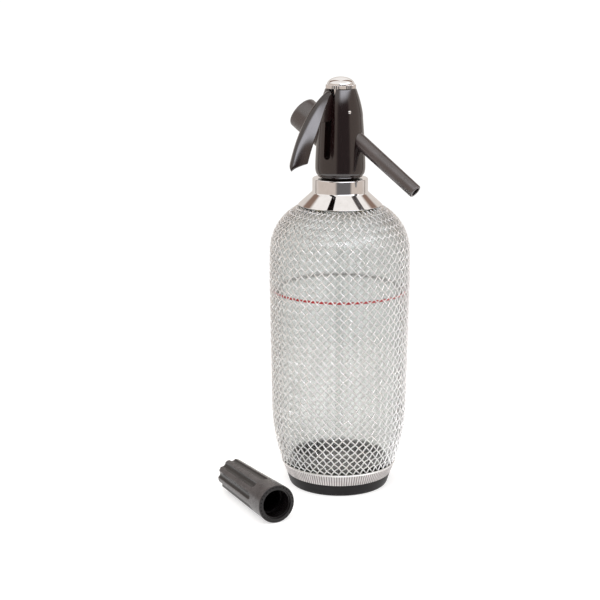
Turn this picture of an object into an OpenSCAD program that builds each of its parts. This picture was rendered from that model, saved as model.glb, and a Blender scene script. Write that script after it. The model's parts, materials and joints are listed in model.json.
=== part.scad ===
// Soda siphon: a glass bottle in a woven wire sleeve, with a lever head that
// unscrews, a gas port with its cap, and a charger holder lying beside it.
// Millimetres. Origin: centre of the base's underside. +Z up, +X spout,
// -X gas port, -Y lever.

/* [Bottle] */
// Radius over the wire sleeve at its widest
body_r = 53.9; // [53:0.1:55]
// Height at which the sleeve is widest
body_widest_z = 166; // [150:1:175]
// How much narrower the flank is where the foot's curve starts
flank_taper = 1.4; // [0.5:0.1:2]
// Height at which the foot's curve meets the flank
foot_curve_z = 65; // [60:1:70]
// Radius of the curve that draws the body in towards the foot
foot_curve_r = 140; // [130:1:160]
// Height at which the shoulder's curve starts
shoulder_z = 184.5; // [180:0.5:195]
// Radius of the shoulder's curve
shoulder_r = 39; // [37:0.5:41]
// How much narrower the body is at the shoulder than at its widest
shoulder_drop = 0.3; // [0.1:0.1:0.6]
// Thickness of the glass wall
glass_wall = 4.8; // [3.5:0.1:5.5]
// Thickness of the glass floor at the centre
glass_floor = 11; // [9:0.5:13]
// Height of the hollow under the glass floor
punt_h = 4; // [2:0.5:5]
// Radius of the hole through the neck
neck_bore_r = 10.5; // [9.5:0.1:11]
// Thickness of the neck's glass
neck_wall = 4.7; // [4:0.1:5]
// Radius of the bead round the neck's lip
bead_r = 17.5; // [17:0.1:18]
// Height of the bead
bead_h = 4.9; // [4:0.1:5.5]

/* [Sleeve and base] */
// Number of the sleeve's wires that turn one way, with as many the other way
sleeve_wires = 50; // [40:1:52]
// Angle at which the wires lean from upright where the body is widest
wire_lean = 45.7; // [44:0.1:46.5]
// Radius of the sleeve's wires
wire_r = 0.5; // [0.4:0.05:0.55]
// Clearance between the sleeve and the glass
sleeve_gap = 0.15; // [0.1:0.05:0.4]
// Angle up the shoulder's curve at which the sleeve ends
sleeve_end = 65.5; // [62:0.5:67]
// Height of the base cup that shows below the band
base_h = 9.3; // [7:0.1:12]
// Radius of the base cup where it stands on the table
base_rest_r = 38; // [36.6:0.1:39]
// Thickness of the base cup's floor
base_floor = 3; // [2:0.1:4]
// Height of the ribbed band round the sleeve's hem
band_h = 8.2; // [6:0.1:10]
// Thickness of the band's sheet
band_t = 0.9; // [0.6:0.1:1.1]
// Number of ribs pressed into the band
band_ribs = 140; // [60:1:160]
// Radius of the wire bound round the band's upper edge
hem_wire_r = 0.7; // [0.5:0.05:0.9]

/* [Neck fitting] */
// Radius of the chromed collar
collar_r = 21; // [20.6:0.1:22]
// Height of the collar's upright part
collar_h = 10.5; // [10:0.1:12]
// Height of the collar's sloping skirt
skirt_h = 9.8; // [9.5:0.1:11]
// How far the skirt's rim laps over the sleeve
skirt_lap = 1.1; // [0.6:0.1:1.6]
// Thickness of the collar's sheet
collar_t = 1.2; // [1:0.1:1.3]
// Depth of the glass lip below the collar's top
lip_depth = 9; // [8.6:0.1:9.2]
// Thickness of the washer on the glass lip
lip_washer_t = 1.8; // [1.2:0.1:2.2]
// Radius of the threaded shank that screws into the neck
shank_r = 13.3; // [12.8:0.1:13.4]

/* [Head] */
// Gap between the collar and the head
head_gap = 1.1; // [0.8:0.1:1.6]
// Height of the head's black housing
head_h = 65.6; // [65:0.1:67]
// Radius of the housing's lower edge
head_foot_r = 16.6; // [16.2:0.1:17]
// Largest radius of the housing
head_r = 18.9; // [18.5:0.1:19.5]
// Radius of the housing where its top starts to close in
head_side_r = 16.8; // [16.4:0.1:17.4]
// Radius of the housing's top
head_top_r = 11.8; // [11.4:0.1:12.2]
// Radius of the valve body inside the housing
core_r = 11; // [10.6:0.1:11.2]
// Radius of the top cap's knurled ring
cap_ring_r = 11.3; // [11:0.1:11.7]
// Height of the top cap's knurled ring
cap_ring_h = 2.8; // [2.2:0.1:3.4]
// Height of the dome on the top cap
dome_h = 5.8; // [5:0.1:7]
// Number of knurls round the top cap
knurls = 40; // [24:1:48]

/* [Valve] */
// Radius of the valve chamber
chamber_r = 5; // [4.6:0.1:5.2]
// Radius of the hole in the valve seat
seat_r = 2.4; // [1.8:0.1:2.8]
// Radius of the valve stem
stem_r = 1.6; // [1.3:0.1:1.8]
// Outer radius of the riser tube
riser_r = 3.4; // [3:0.1:3.6]
// Wall of the riser tube
riser_wall = 1.1; // [0.7:0.1:1.3]
// Height of the riser tube's foot above the glass floor
riser_lift = 5; // [3:0.5:12]
// Radius of the spring's coils, to the middle of its wire
spring_r = 3.6; // [3.3:0.1:3.8]
// Radius of the spring's wire
spring_wire_r = 0.45; // [0.3:0.05:0.55]
// Number of turns in the spring
spring_turns = 6; // [4:1:8]

/* [Lever] */
// Distance of the lever's pin from the head's axis
pin_out = 8.6; // [8.4:0.1:8.8]
// Height of the lever's pin above the housing's lower edge
pin_up = 49.4; // [49:0.1:50]
// Radius of the lever's pin
pin_r = 1.4; // [1.2:0.05:1.5]
// Width of the lever where it enters the head
web_w = 5; // [4:0.1:5.4]
// Half the width of the lever's blade at its widest
blade_half_w = 8.1; // [7.5:0.1:9.5]
// Depth of the blade's flanks
blade_depth = 8.9; // [7.5:0.1:9.5]
// Thickness of the blade
blade_t = 1.8; // [1.4:0.1:2.2]

/* [Spout] */
// Angle at which the spout points down
spout_tilt = 35; // [33:0.5:36]
// Length of the spout outside the head
spout_len = 58.5; // [45:0.5:70]
// Outer radius of the spout at the head
spout_root_r = 5.5; // [5.2:0.05:5.7]
// Outer radius of the spout at its outlet
spout_tip_r = 5.1; // [4.9:0.05:5.3]
// Radius of the hole through the spout
spout_bore_r = 3.4; // [2.6:0.1:3.6]

/* [Gas port] */
// Angle at which the gas port points up
port_tilt = 35; // [33:0.5:36]
// Radius of the port's threaded barrel
barrel_r = 10.2; // [9.8:0.1:10.4]
// Radius of the port's cap
port_cap_r = 12.5; // [12.3:0.1:13]
// Length of the port's cap
port_cap_len = 19.6; // [19:0.1:21]

/* [Charger holder] */
// Length of the holder
holder_len = 79; // [78:0.5:84]
// Radius of the holder's closed end
holder_end_r = 12.25; // [12:0.05:12.6]
// Radius of the holder's mouth
holder_mouth_r = 14.3; // [14:0.05:14.8]
// Radius of the hole for the gas charger
charger_bore_r = 9.4; // [9.2:0.05:9.7]
// Number of grooves for the grip
grip_grooves = 9; // [8:1:12]
// Depth of the grip grooves
groove_depth = 1.5; // [1:0.1:1.8]
// Where the holder's closed end lies, along X
holder_x = -57; // [-70:1:-52]
// Where the holder's closed end lies, along Y
holder_y = -64; // [-80:1:-60]
// Direction in which the holder's mouth points, from +X
holder_turn = -29; // [-35:1:-20]

/* [Hidden] */
$fn = 96;

// Clearances
seat = 0.2;          // flat faces that rest on each other
run = 0.05;          // radial clearance of a pin or stem in its hole
screw_gap = 0.15;    // radial clearance of a screwed joint
slot_gap = 0.3;      // side clearance of the lever in its slot

// Sleeve: two layers of wires, one over the other
wire_gap = 0.25;
sleeve_t = 4 * wire_r + wire_gap;
turn_rate = tan(wire_lean) / body_r * 180 / PI;     // degrees for each mm along the body

// Body of the bottle
flank_r = body_r - flank_taper;
foot_cx = flank_r - foot_curve_r;
shoulder_cx = body_r - shoulder_drop - shoulder_r;
sleeve_foot_z = base_h + band_h + 2 * (hem_wire_r + run);
sleeve_top_r = shoulder_cx + shoulder_r * cos(sleeve_end);
sleeve_top_z = shoulder_z + shoulder_r * sin(sleeve_end);
glass_in = sleeve_t + sleeve_gap;
inside_in = glass_in + glass_wall;
glass_foot_z = base_floor + seat;
inside_z = glass_foot_z + glass_floor;
neck_r = neck_bore_r + neck_wall;
neck_fillet = 4;

// Neck fitting
skirt_r = sleeve_top_r + skirt_lap;
skirt_z = sleeve_top_z + seat;
collar_z = skirt_z + skirt_h;
collar_top = collar_z + collar_h;
lip_z = collar_top - lip_depth;
bead_z = lip_z - bead_h;
ring_r = collar_r - collar_t - seat;
ring_bore_r = shank_r + screw_gap;
ring_lip = 1.3;
shank_z = lip_z + seat + lip_washer_t;

// Head: heights above its lower edge, then what follows from them
core_up = 41.9;
seat_up = 9.4;
chamber_up = 34.4;
spout_up = 27.4;
port_up = 21.8;
head_z = collar_top + head_gap;
head_top = head_z + head_h;
core_bore_r = core_r + seat;
core_top = head_z + core_up;
cap_z = head_top + seat;
cap_shank_r = 8.4;
cap_shank_h = 6.7;
cap_hollow_r = 5.6;
yoke_bore_r = 5.2;

// Riser and valve
seat_z = head_z + seat_up;
seat_wall = 3;
seat_rim = 1;
socket_top = seat_z - seat_wall;
tube_bore_r = 6.8;
tube_holder_z = shank_z - 6;
riser_top = socket_top - 4;
chamber_top = head_z + chamber_up;
washer_z = seat_z + seat_rim + run;
washer_t = 1.9;
stem_foot_r = chamber_r - 0.8;
stem_foot_h = 2.2;
yoke_r = 4.4;
yoke_low = 5;
yoke_high = 6;
spring_peg_r = spring_r - spring_wire_r - 0.3;
gland_r = 3.6;
gland_h = 4.4;
seal_t = 2.2;
gallery_x = -9;
gallery_r = 1.1;

// Lever, in (distance out from the pin, height above the pin)
pin_z = head_z + pin_up;
pin_half = 13.7;
boss_r = 3.9;
nose_r = 1.7;
arm_half = 1.5;
ridge_start = [8.4, 16];
ridge_ctrl = [42.5, 3.8];
ridge_end = [57.9, -37.5];
ridge_round = 0.37;  // share of the blade's half width over which the ridge rounds
ridge_t = 2.4;
tip_cut = 0.1;
slot_floor = -7.5;
slot_end = -35;

// Spout and port, measured along their own axes
spout_x = 17.4;
spout_z = head_z + spout_up;
spout_root = -3.4;
port_z = head_z + port_up;
spigot_r = 4;
spigot_len = 6.4;
boss_start = 6;
boss_end = 24;
barrel_start = 20.8;
barrel_end = 40.4;
charger_neck_r = 5;
neck_socket_z = barrel_end - 12.9;
spike_plate_t = 1.5;
cap_start = boss_end + 0.3;

// Holder
holder_tilt = atan((holder_mouth_r - holder_end_r) / holder_len);
holder_thread_len = 14;
holder_thread_r = charger_bore_r + 1.9;
holder_floor = 4;

// ---------------------------------------------------------------- outlines
// Points of an arc round (cx, cz), from angle a0 to a1 in n steps
function arc(cx, cz, r, a0, a1, n) =
    [for (i = [0:n]) let (a = a0 + (a1 - a0) * i / n) [cx + r * cos(a), cz + r * sin(a)]];
// Points of a quadratic Bezier curve in n steps
function bezier(p0, p1, p2, n) = [for (i = [0:n]) bezier_at(p0, p1, p2, i / n)];
function bezier_at(p0, p1, p2, t) = (1 - t) * (1 - t) * p0 + 2 * t * (1 - t) * p1 + t * t * p2;
// The body's outline, moved inwards by inset, from height z0 to an angle up the shoulder
function body_outline(inset, z0, end) = let (r = foot_curve_r - inset)
    concat(
        arc(foot_cx, foot_curve_z, r, asin((z0 - foot_curve_z) / r), 0, 8),
        [[body_r - inset, body_widest_z]],
        arc(shoulder_cx, shoulder_z, shoulder_r - inset, 0, end, 10));
// The body's radius on the foot's curve at height z
function foot_radius(inset, z) =
    foot_cx + sqrt(pow(foot_curve_r - inset, 2) - pow(foot_curve_z - z, 2));

// A turned solid from an outline of (radius, height) points
module turned(points) {
    rotate_extrude() polygon(points);
}
module tube(r, bore, z0, z1) {
    turned([[bore, z0], [r, z0], [r, z1], [bore, z1]]);
}
module rod(r, z0, z1) {
    translate([0, 0, z0]) cylinder(r = r, h = z1 - z0);
}
// A solid through rings of points, with both ends closed
module swept(rings) {
    n = len(rings) - 1;
    sides = len(rings[0]);
    walls = [for (i = [0:n - 1], j = [0:sides - 1]) let (k = (j + 1) % sides)
        each [[i * sides + j, (i + 1) * sides + j, (i + 1) * sides + k],
              [i * sides + j, (i + 1) * sides + k, i * sides + k]]];
    ends = [[for (j = [0:sides - 1]) j], [for (j = [sides - 1:-1:0]) n * sides + j]];
    polyhedron(points = [for (ring = rings) each ring], faces = concat(walls, ends));
}
// Puts a shape drawn along +Z on the spout's axis, zero at the head's side
module on_spout() {
    translate([spout_x, 0, spout_z]) rotate([0, 90 + spout_tilt, 0]) children();
}
// Puts a shape drawn along +Z on the port's axis, zero at the head's axis
module on_port() {
    translate([0, 0, port_z]) rotate([0, port_tilt - 90, 0]) children();
}
// Puts a shape drawn along +Z on the charger holder's axis, zero at its closed end
module on_holder() {
    translate([holder_x, holder_y, holder_end_r * cos(holder_tilt)])
        rotate([0, 90 - holder_tilt, holder_turn]) children();
}

// ---------------------------------------------------------------- base and sleeve
// The cup's radius at height z, easing from where it rests to the foot's curve
function base_radius(z) =
    foot_radius(0, z) + (base_rest_r - foot_radius(0, 0)) * (1 - z / base_h);

module base_cup() {
    top = base_h + band_h;
    step_in = band_t + seat;
    color([0.07, 0.07, 0.07]) turned(concat(
        [[0, 0], [base_rest_r - 1.2, 0], [base_rest_r - 0.2, 0.5]],
        [for (i = [1:5]) let (z = base_h * i / 5) [base_radius(z), z]],
        [for (i = [0:2]) let (z = base_h + band_h * i / 2) [foot_radius(step_in, z), z]],
        [for (i = [4:-1:0]) let (z = base_floor + (top - base_floor) * i / 4)
            [foot_radius(sleeve_t, z), z]],
        [[0, base_floor]]));
}

module hem_band() {
    z0 = base_h + run;
    z1 = base_h + band_h;
    rib_r = 0.5;
    color([0.86, 0.85, 0.84]) difference() {
        turned([
            [foot_radius(band_t, z0), z0], [foot_radius(0, z0), z0],
            [foot_radius(0, z1), z1], [foot_radius(band_t, z1), z1]]);
        // Fine grooves leave the ribs standing
        for (i = [0:band_ribs - 1]) {
            rotate([0, 0, 360 * i / band_ribs])
                translate([foot_radius(0, z0) + rib_r - 0.3, 0, z0])
                rotate([0, atan((foot_radius(0, z1) - foot_radius(0, z0)) / (z1 - z0)), 0])
                translate([0, 0, -1]) cylinder(r = rib_r, h = band_h + 2, $fn = 4);
        }
    }
}

module hem_wire() {
    z = base_h + band_h + run + hem_wire_r;
    color([0.8, 0.8, 0.8]) rotate_extrude()
        translate([foot_radius(0, z) - hem_wire_r / 2, z]) circle(r = hem_wire_r, $fn = 24);
}

// The body's radius at height z between the foot's curve and the shoulder's
function flank_radius(z) = z < body_widest_z
    ? flank_r + flank_taper * (z - foot_curve_z) / (body_widest_z - foot_curve_z)
    : body_r - shoulder_drop * (z - body_widest_z) / (shoulder_z - body_widest_z);
// The outline along which the sleeve's wires run, moved inwards by inset
function wire_line(inset) = let (r = foot_curve_r - inset, z0 = sleeve_foot_z + wire_r)
    concat(
        arc(foot_cx, foot_curve_z, r, asin((z0 - foot_curve_z) / r), 0, 4),
        [for (i = [1:9]) let (z = foot_curve_z + (shoulder_z - foot_curve_z) * i / 10)
            [flank_radius(z) - inset, z]],
        arc(shoulder_cx, shoulder_z, shoulder_r - inset, 0, sleeve_end, 5));
// Length of a line up to its point k
function length_to(line, k) =
    k == 0 ? 0 : length_to(line, k - 1) + norm(line[k] - line[k - 1]);

// One three-sided wire that winds up the body. It turns with way 1 or against
// it with way -1, and the wires of way 1 lie over those of way -1
module sleeve_wire(way) {
    outer = wire_line(0);
    inner = wire_line(1);
    depth = wire_r + (way > 0 ? 0 : wire_r + wire_gap);
    swept([for (i = [0:len(outer) - 1]) let (
        slope = outer[i] - inner[i],
        p = outer[i] - depth * slope,
        a = way * turn_rate * length_to(outer, i),
        lean = way * atan(p[0] * turn_rate * PI / 180),
        radial = [cos(a), sin(a), 0],
        round_body = [-sin(a), cos(a), 0],
        up_body = slope[0] * [0, 0, 1] - slope[1] * radial,
        across = cos(lean) * round_body - sin(lean) * up_body,
        out = slope[0] * radial + slope[1] * [0, 0, 1])
        [for (j = [0:2]) let (b = 120 * j + (way > 0 ? 0 : 180))
            p[0] * radial + [0, 0, p[1]] + wire_r * (cos(b) * out + sin(b) * across)]]);
}

module mesh_sleeve() {
    color([0.78, 0.79, 0.8]) for (way = [-1, 1], i = [0:sleeve_wires - 1])
        rotate([0, 0, 360 * i / sleeve_wires]) sleeve_wire(way);
}

// ---------------------------------------------------------------- bottle
module glass_bottle() {
    shoulder_end = 78;
    fillet_cx = neck_r + neck_fillet;
    fillet_z = shoulder_z + (shoulder_r - glass_in) * sin(shoulder_end) + neck_fillet;
    inner_fillet = 5;
    inner_end = 70;
    foot_r = foot_radius(glass_in, glass_foot_z);
    punt_r = foot_r - 8;
    round_r = 6;
    floor_r = foot_radius(inside_in, inside_z);
    inner_r = shoulder_r - inside_in;
    color([0.85, 0.93, 0.9, 0.35]) difference() {
        turned(concat(
            [[0, glass_foot_z + punt_h]],
            [for (i = [1:5]) [punt_r * i / 5, glass_foot_z + punt_h * cos(90 * i / 5)]],
            [[foot_r - 2, glass_foot_z]],
            body_outline(glass_in, glass_foot_z + 1.5, shoulder_end),
            arc(fillet_cx, fillet_z, neck_fillet, 258, 180, 5),
            [[neck_r, bead_z - 0.6], [bead_r - 0.8, bead_z], [bead_r, bead_z + 0.8]],
            [[bead_r, lip_z - 1.4], [bead_r - 0.5, lip_z - 0.5], [bead_r - 1.4, lip_z], [0, lip_z]]));
        // The inside: rounded floor, walls, shoulder and the neck's bore
        turned(concat(
            [[0, inside_z + 1.2], [floor_r / 2, inside_z + 0.6], [floor_r - round_r, inside_z]],
            arc(floor_r - round_r + 0.3, inside_z + round_r, round_r, 300, 345, 3),
            body_outline(inside_in, inside_z + round_r + 1, inner_end),
            arc(neck_bore_r + inner_fillet, shoulder_z + inner_r * sin(inner_end) + inner_fillet,
                inner_fillet, 250, 180, 5),
            [[neck_bore_r, lip_z - 1], [neck_bore_r + 0.8, lip_z + 1], [0, lip_z + 1]]));
    }
}

module neck_ring() {
    // Clamped round the glass bead, threaded inside for the head's shank
    color([0.75, 0.62, 0.35]) turned([
        [neck_r + seat, bead_z - 0.6 - ring_lip - seat], [ring_r, bead_z - 0.6 - ring_lip - seat],
        [ring_r, collar_top - collar_t - seat], [ring_bore_r, collar_top - collar_t - seat],
        [ring_bore_r, lip_z + seat], [bead_r + seat, lip_z + seat],
        [bead_r + seat, bead_z - 0.6], [neck_r + seat, bead_z - 0.8]]);
}

module neck_collar() {
    edge = 1;
    foot = 0.8;
    inner_r = collar_r - collar_t;
    color([0.86, 0.86, 0.88]) turned(concat(
        [[skirt_r - collar_t, skirt_z], [skirt_r - 0.3, skirt_z], [skirt_r, skirt_z + 0.3]],
        bezier([collar_r + foot * 1.2, collar_z - foot], [collar_r, collar_z + 0.2],
            [collar_r, collar_z + foot * 1.5], 4),
        arc(collar_r - edge, collar_top - edge, edge, 0, 90, 4),
        [[shank_r + 0.7, collar_top], [shank_r + 0.7, collar_top - collar_t]],
        [[inner_r, collar_top - collar_t], [inner_r, collar_z - 0.3]]));
}

module lip_washer() {
    color([0.15, 0.15, 0.15])
        tube(shank_r - 0.2, neck_bore_r + 0.8 + seat, lip_z + run, lip_z + run + lip_washer_t);
}

// ---------------------------------------------------------------- riser and valve
module riser_tube() {
    z0 = inside_z + 1.2 + riser_lift;
    color([0.9, 0.9, 0.88, 0.7]) difference() {
        tube(riser_r, riser_r - riser_wall, z0, riser_top);
        // Notch that keeps the foot from sealing on the floor
        translate([-riser_r * 2, -1, z0 - 1]) cube([riser_r * 4, 2, 3]);
    }
}

module tube_holder() {
    z0 = tube_holder_z;
    z1 = socket_top - 1;
    nose = 5;
    color([0.12, 0.12, 0.12]) turned([
        [riser_r + run, z0 - nose], [riser_r + 1.3, z0 - nose], [tube_bore_r - 0.6, z0],
        [tube_bore_r - run, z0 + 0.6], [tube_bore_r - run, z1], [riser_r - riser_wall, z1],
        [riser_r - riser_wall, riser_top + run], [riser_r + run, riser_top + run]]);
}

module valve_body() {
    flange_z = head_z - seat;
    outlet_r = 2.7;
    color([0.78, 0.66, 0.38]) difference() {
        turned([
            [0, shank_z], [shank_r - 0.6, shank_z], [shank_r, shank_z + 0.6],
            [shank_r, flange_z], [core_r, flange_z], [core_r, core_top - 0.8],
            [core_r - 0.8, core_top], [0, core_top]]);
        // Way for the riser's holder, seat hole, chamber and gland
        rod(tube_bore_r, shank_z - 1, socket_top);
        rod(seat_r, shank_z, seat_z + seat_rim);
        turned([
            [seat_r + 1, seat_z + seat_rim], [seat_r + 1.4, seat_z], [chamber_r, seat_z],
            [chamber_r, chamber_top], [0, chamber_top], [0, seat_z + seat_rim]]);
        rod(stem_r + run, chamber_top - 1, core_top + 1);
        rod(gland_r, core_top - gland_h, core_top + 1);
        // Outlet from the chamber to the spout's socket
        translate([0, 0, chamber_top - outlet_r - 0.8]) rotate([0, 90, 0])
            cylinder(r = outlet_r, h = core_r + 2);
        on_spout() rod(spigot_r + run, -10, 8);
        // Socket for the gas port and the gallery down to the neck
        on_port() rod(spigot_r + run, 9.6, 22);
        translate([gallery_x, 0, 0]) rod(gallery_r, shank_z - 1, port_z + 6.5);
    }
}

module stem_seal() {
    z0 = core_top - gland_h + run;
    color([0.1, 0.1, 0.1]) tube(gland_r - run, stem_r + run, z0, z0 + seal_t);
}

module gland_nut() {
    z0 = core_top - gland_h + seal_t + 2 * run;
    color([0.78, 0.66, 0.38]) tube(gland_r - run, stem_r + run, z0, core_top);
}

module valve_washer() {
    color([0.1, 0.1, 0.1]) rod(stem_foot_r - 0.4, washer_z, washer_z + washer_t);
}

module valve_stem() {
    foot_z = washer_z + washer_t;
    window_low = 3.2;
    window_high = nose_r + run;
    yoke_top = pin_z + yoke_high;
    peg_h = 3.2;
    color([0.75, 0.75, 0.77]) difference() {
        // Foot that carries the washer, then the stem, the yoke and the spring's peg
        turned([
            [0, foot_z], [stem_foot_r, foot_z], [stem_foot_r, foot_z + stem_foot_h],
            [stem_r + 0.8, foot_z + stem_foot_h + 1.2], [stem_r, foot_z + stem_foot_h + 1.6],
            [stem_r, pin_z - yoke_low], [yoke_r, pin_z - yoke_low],
            [yoke_r, yoke_top], [spring_peg_r, yoke_top], [spring_peg_r, yoke_top + peg_h - 0.6],
            [spring_peg_r - 0.6, yoke_top + peg_h], [0, yoke_top + peg_h]]);
        // Window for the nose of the lever
        translate([-web_w / 2 - slot_gap / 2, -yoke_r - 1, pin_z - window_low])
            cube([web_w + slot_gap, 2 * yoke_r + 2, window_low + window_high]);
    }
}

// A round wire swept along a helix between two heights
module coil(r, wire, z0, z1, turns, steps, sides) {
    n = turns * steps;
    swept([for (i = [0:n]) let (a = 360 * i / steps, z = z0 + (z1 - z0) * i / n)
        [for (j = [0:sides - 1]) let (b = 360 * j / sides)
            [(r + wire * cos(b)) * cos(a), (r + wire * cos(b)) * sin(a), z + wire * sin(b)]]]);
}

module valve_spring() {
    z0 = pin_z + yoke_high + spring_wire_r + seat;
    z1 = cap_z + cap_ring_h - spring_wire_r - seat;
    color([0.7, 0.7, 0.72]) coil(spring_r, spring_wire_r, z0, z1, spring_turns, 10, 6);
}

// ---------------------------------------------------------------- head
function head_outline() = concat(
    [[0, head_z], [head_foot_r, head_z], [head_foot_r + 0.5, head_z + 0.5]],
    [for (i = [1:4]) let (a = 22.5 * i)
        [head_foot_r + 0.5 + (head_r - head_foot_r - 0.5) * sin(a), head_z + 1.5 + 5.5 * (1 - cos(a))]],
    bezier([head_r, head_z + 9], [head_r - 0.3, head_z + 22], [head_side_r, head_z + 44], 5),
    bezier([head_side_r - 0.05, head_z + 46], [head_side_r - 0.9, head_z + 54],
        [head_top_r, head_top - 0.4], 6),
    [[head_top_r - 0.5, head_top], [0, head_top]]);

module head_shell() {
    skirt_in = 2;
    rib_r = core_bore_r + 1.6;
    slot_half = web_w / 2 + slot_gap;
    color([0.05, 0.045, 0.045]) difference() {
        union() {
            turned(head_outline());
            // Boss that carries the gas port
            on_port() turned([
                [0, boss_start], [barrel_r + 1.9, boss_start], [barrel_r + 1.6, boss_end - 0.4],
                [barrel_r + 1.2, boss_end], [0, boss_end]]);
        }
        rod(core_bore_r, head_z - 1, core_top + seat);
        // Hollow under the skirt
        turned([
            [rib_r, head_z - 1], [head_foot_r - skirt_in, head_z - 1],
            [head_r - skirt_in - 0.6, head_z + 8], [head_r - skirt_in - 1, head_z + 12],
            [rib_r, head_z + 12]]);
        // Bore for the yoke and the thread of the top cap
        rod(yoke_bore_r, core_top - 1, head_top - cap_shank_h);
        rod(cap_shank_r + screw_gap, head_top - cap_shank_h - seat, head_top + 1);
        // Slot for the lever: through to the yoke above, shallow and round-ended below
        translate([-slot_half, -head_r - 2, pin_z + slot_floor])
            cube([2 * slot_half, head_r + 2, head_top - pin_z - slot_floor + 1]);
        translate([-slot_half, -head_r - 2, pin_z + slot_end + slot_half])
            cube([2 * slot_half, head_r + 1.5 - core_r, slot_floor - slot_end]);
        translate([0, -core_r - 0.5, pin_z + slot_end + slot_half]) rotate([90, 0, 0])
            cylinder(r = slot_half, h = head_r);
        // Holes for the lever's pin, the spout and the port
        translate([-head_r, -pin_out, pin_z]) rotate([0, 90, 0])
            cylinder(r = pin_r + run, h = 2 * head_r);
        on_spout() rod(spout_root_r + screw_gap, spout_root - run, head_r);
        on_spout() rod(spigot_r + screw_gap, -12, 0);
        on_port() rod(spigot_r + screw_gap, 9, boss_end);
        on_port() rod(barrel_r + screw_gap, barrel_start, boss_end + 1);
        // Face that the port's cap screws up to, sunk into the housing above
        on_port() rod(port_cap_r + slot_gap, boss_end, boss_end + 2 * port_cap_len);
    }
}

module dome_cap() {
    ring_top = cap_z + cap_ring_h;
    dome_r = cap_ring_r - 0.9;
    knurl = 0.45;
    color([0.86, 0.86, 0.88]) difference() {
        union() {
            // Knurled ring
            translate([0, 0, cap_z]) linear_extrude(cap_ring_h) polygon(
                [for (i = [0:2 * knurls - 1]) let (a = 180 * i / knurls)
                    (cap_ring_r - (i % 2) * knurl) * [cos(a), sin(a)]]);
            turned(concat(
                [[0, cap_z - cap_shank_h], [cap_shank_r - 0.5, cap_z - cap_shank_h]],
                [[cap_shank_r, cap_z - cap_shank_h + 0.5], [cap_shank_r, cap_z + 0.5]],
                [[dome_r, cap_z + 0.5], [dome_r, ring_top]],
                [for (i = [1:8]) [dome_r * cos(i * 11.25), ring_top + dome_h * sin(i * 11.25)]]));
        }
        rod(cap_hollow_r, cap_z - cap_shank_h - 1, ring_top);
    }
}

// ---------------------------------------------------------------- lever
// Point u of the ridge, moved towards the head by sink
function under_ridge(u, sink) = let (
    p = bezier_at(ridge_start, ridge_ctrl, ridge_end, u),
    d = (1 - u) * (ridge_ctrl - ridge_start) + u * (ridge_end - ridge_ctrl))
    p + sink * [d[1], -d[0]] / norm(d);
// Half the blade's width and the depth of its flanks, at s down the ridge
function blade_half(s) = web_w / 2 + (blade_half_w - web_w / 2) * sin(90 * min(1, s / 0.8));
function blade_sink(s) = 1 + (blade_depth - 1) * sin(90 * min(1, s / 0.6));
// The flanks' fall from the ridge, 0 to 1, at t across the blade from -1 to 1
function fold(t) = (norm([ridge_round, t]) - ridge_round) / (norm([ridge_round, 1]) - ridge_round);
// A point of the blade: s down the ridge, t across it, side 0 on the outer
// face and 1 on the inner face
function blade_point(s, t, side) = let (
    half = blade_half(s) - side * blade_t,
    sink = side * ridge_t + (blade_sink(s) - side * ridge_t) * fold(t),
    q = under_ridge(s * (1 - tip_cut * abs(t)), sink))
    [half * t, -pin_out - q[0], pin_z + q[1]];

module blade() {
    rows = 18;
    cols = 14;
    width = 2 * (cols + 1);
    points = [for (i = [0:rows], side = [0, 1], j = [0:cols]) let (t = 2 * j / cols - 1)
        blade_point(i / rows, side == 0 ? t : -t, side)];
    walls = [for (i = [0:rows - 1], j = [0:width - 1]) let (k = (j + 1) % width)
        each [[i * width + j, i * width + k, (i + 1) * width + k],
              [i * width + j, (i + 1) * width + k, (i + 1) * width + j]]];
    end_cap = [for (i = [0, rows], j = [0:cols - 1]) let (
        a = i * width + j, b = i * width + j + 1,
        c = i * width + width - 2 - j, d = i * width + width - 1 - j)
        each (i == 0 ? [[a, d, c], [a, c, b]] : [[a, c, d], [a, b, c]])];
    polyhedron(points = points, faces = concat(walls, end_cap));
}

module lever() {
    color([0.05, 0.045, 0.045]) difference() {
        union() {
            blade();
            // Boss, web, arm and nose, drawn in (out, up) from the pin
            translate([-web_w / 2, -pin_out, pin_z]) rotate([90, 0, 90]) linear_extrude(web_w) {
                circle(r = boss_r);
                polygon(concat(
                    [[1, boss_r - 0.2], [-1.5, boss_r - 0.4]],
                    [for (u = [0:0.08:0.4]) let (q = under_ridge(u, ridge_t - 0.2)) [-q[0], q[1]]],
                    [[-28.5, -6], [-26.5, -6.6], [-12, -6.2], [-4, -5], [-1, -boss_r + 0.1]]));
                translate([0, -arm_half]) square([pin_out, 2 * arm_half]);
                translate([pin_out, 0]) circle(r = nose_r);
            }
        }
        translate([-web_w, -pin_out, pin_z]) rotate([0, 90, 0])
            cylinder(r = pin_r + run, h = 2 * web_w);
    }
}

module lever_pin() {
    color([0.86, 0.86, 0.88]) translate([0, -pin_out, pin_z]) rotate([0, 90, 0])
        turned([
            [0, -pin_half - 0.5], [pin_r * 0.7, -pin_half - 0.2], [pin_r, -pin_half + 0.4],
            [pin_r, pin_half - 0.2], [pin_r * 0.8, pin_half + 0.4], [pin_r * 0.4, pin_half + 0.7],
            [0, pin_half + 0.8]]);
}

// ---------------------------------------------------------------- spout
module spout() {
    lip = 0.7;
    color([0.16, 0.14, 0.14]) on_spout() difference() {
        union() {
            rod(spigot_r, spout_root - spigot_len, spout_root + 1);
            turned(concat(
                [[0, spout_root], [spout_root_r, spout_root]],
                arc(spout_tip_r - lip, spout_len - lip, lip, 0, 90, 3),
                [[0, spout_len]]));
        }
        rod(spout_bore_r, 2, spout_len + 1);
        rod(spigot_r - 1.2, -11, 3);
    }
}

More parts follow.
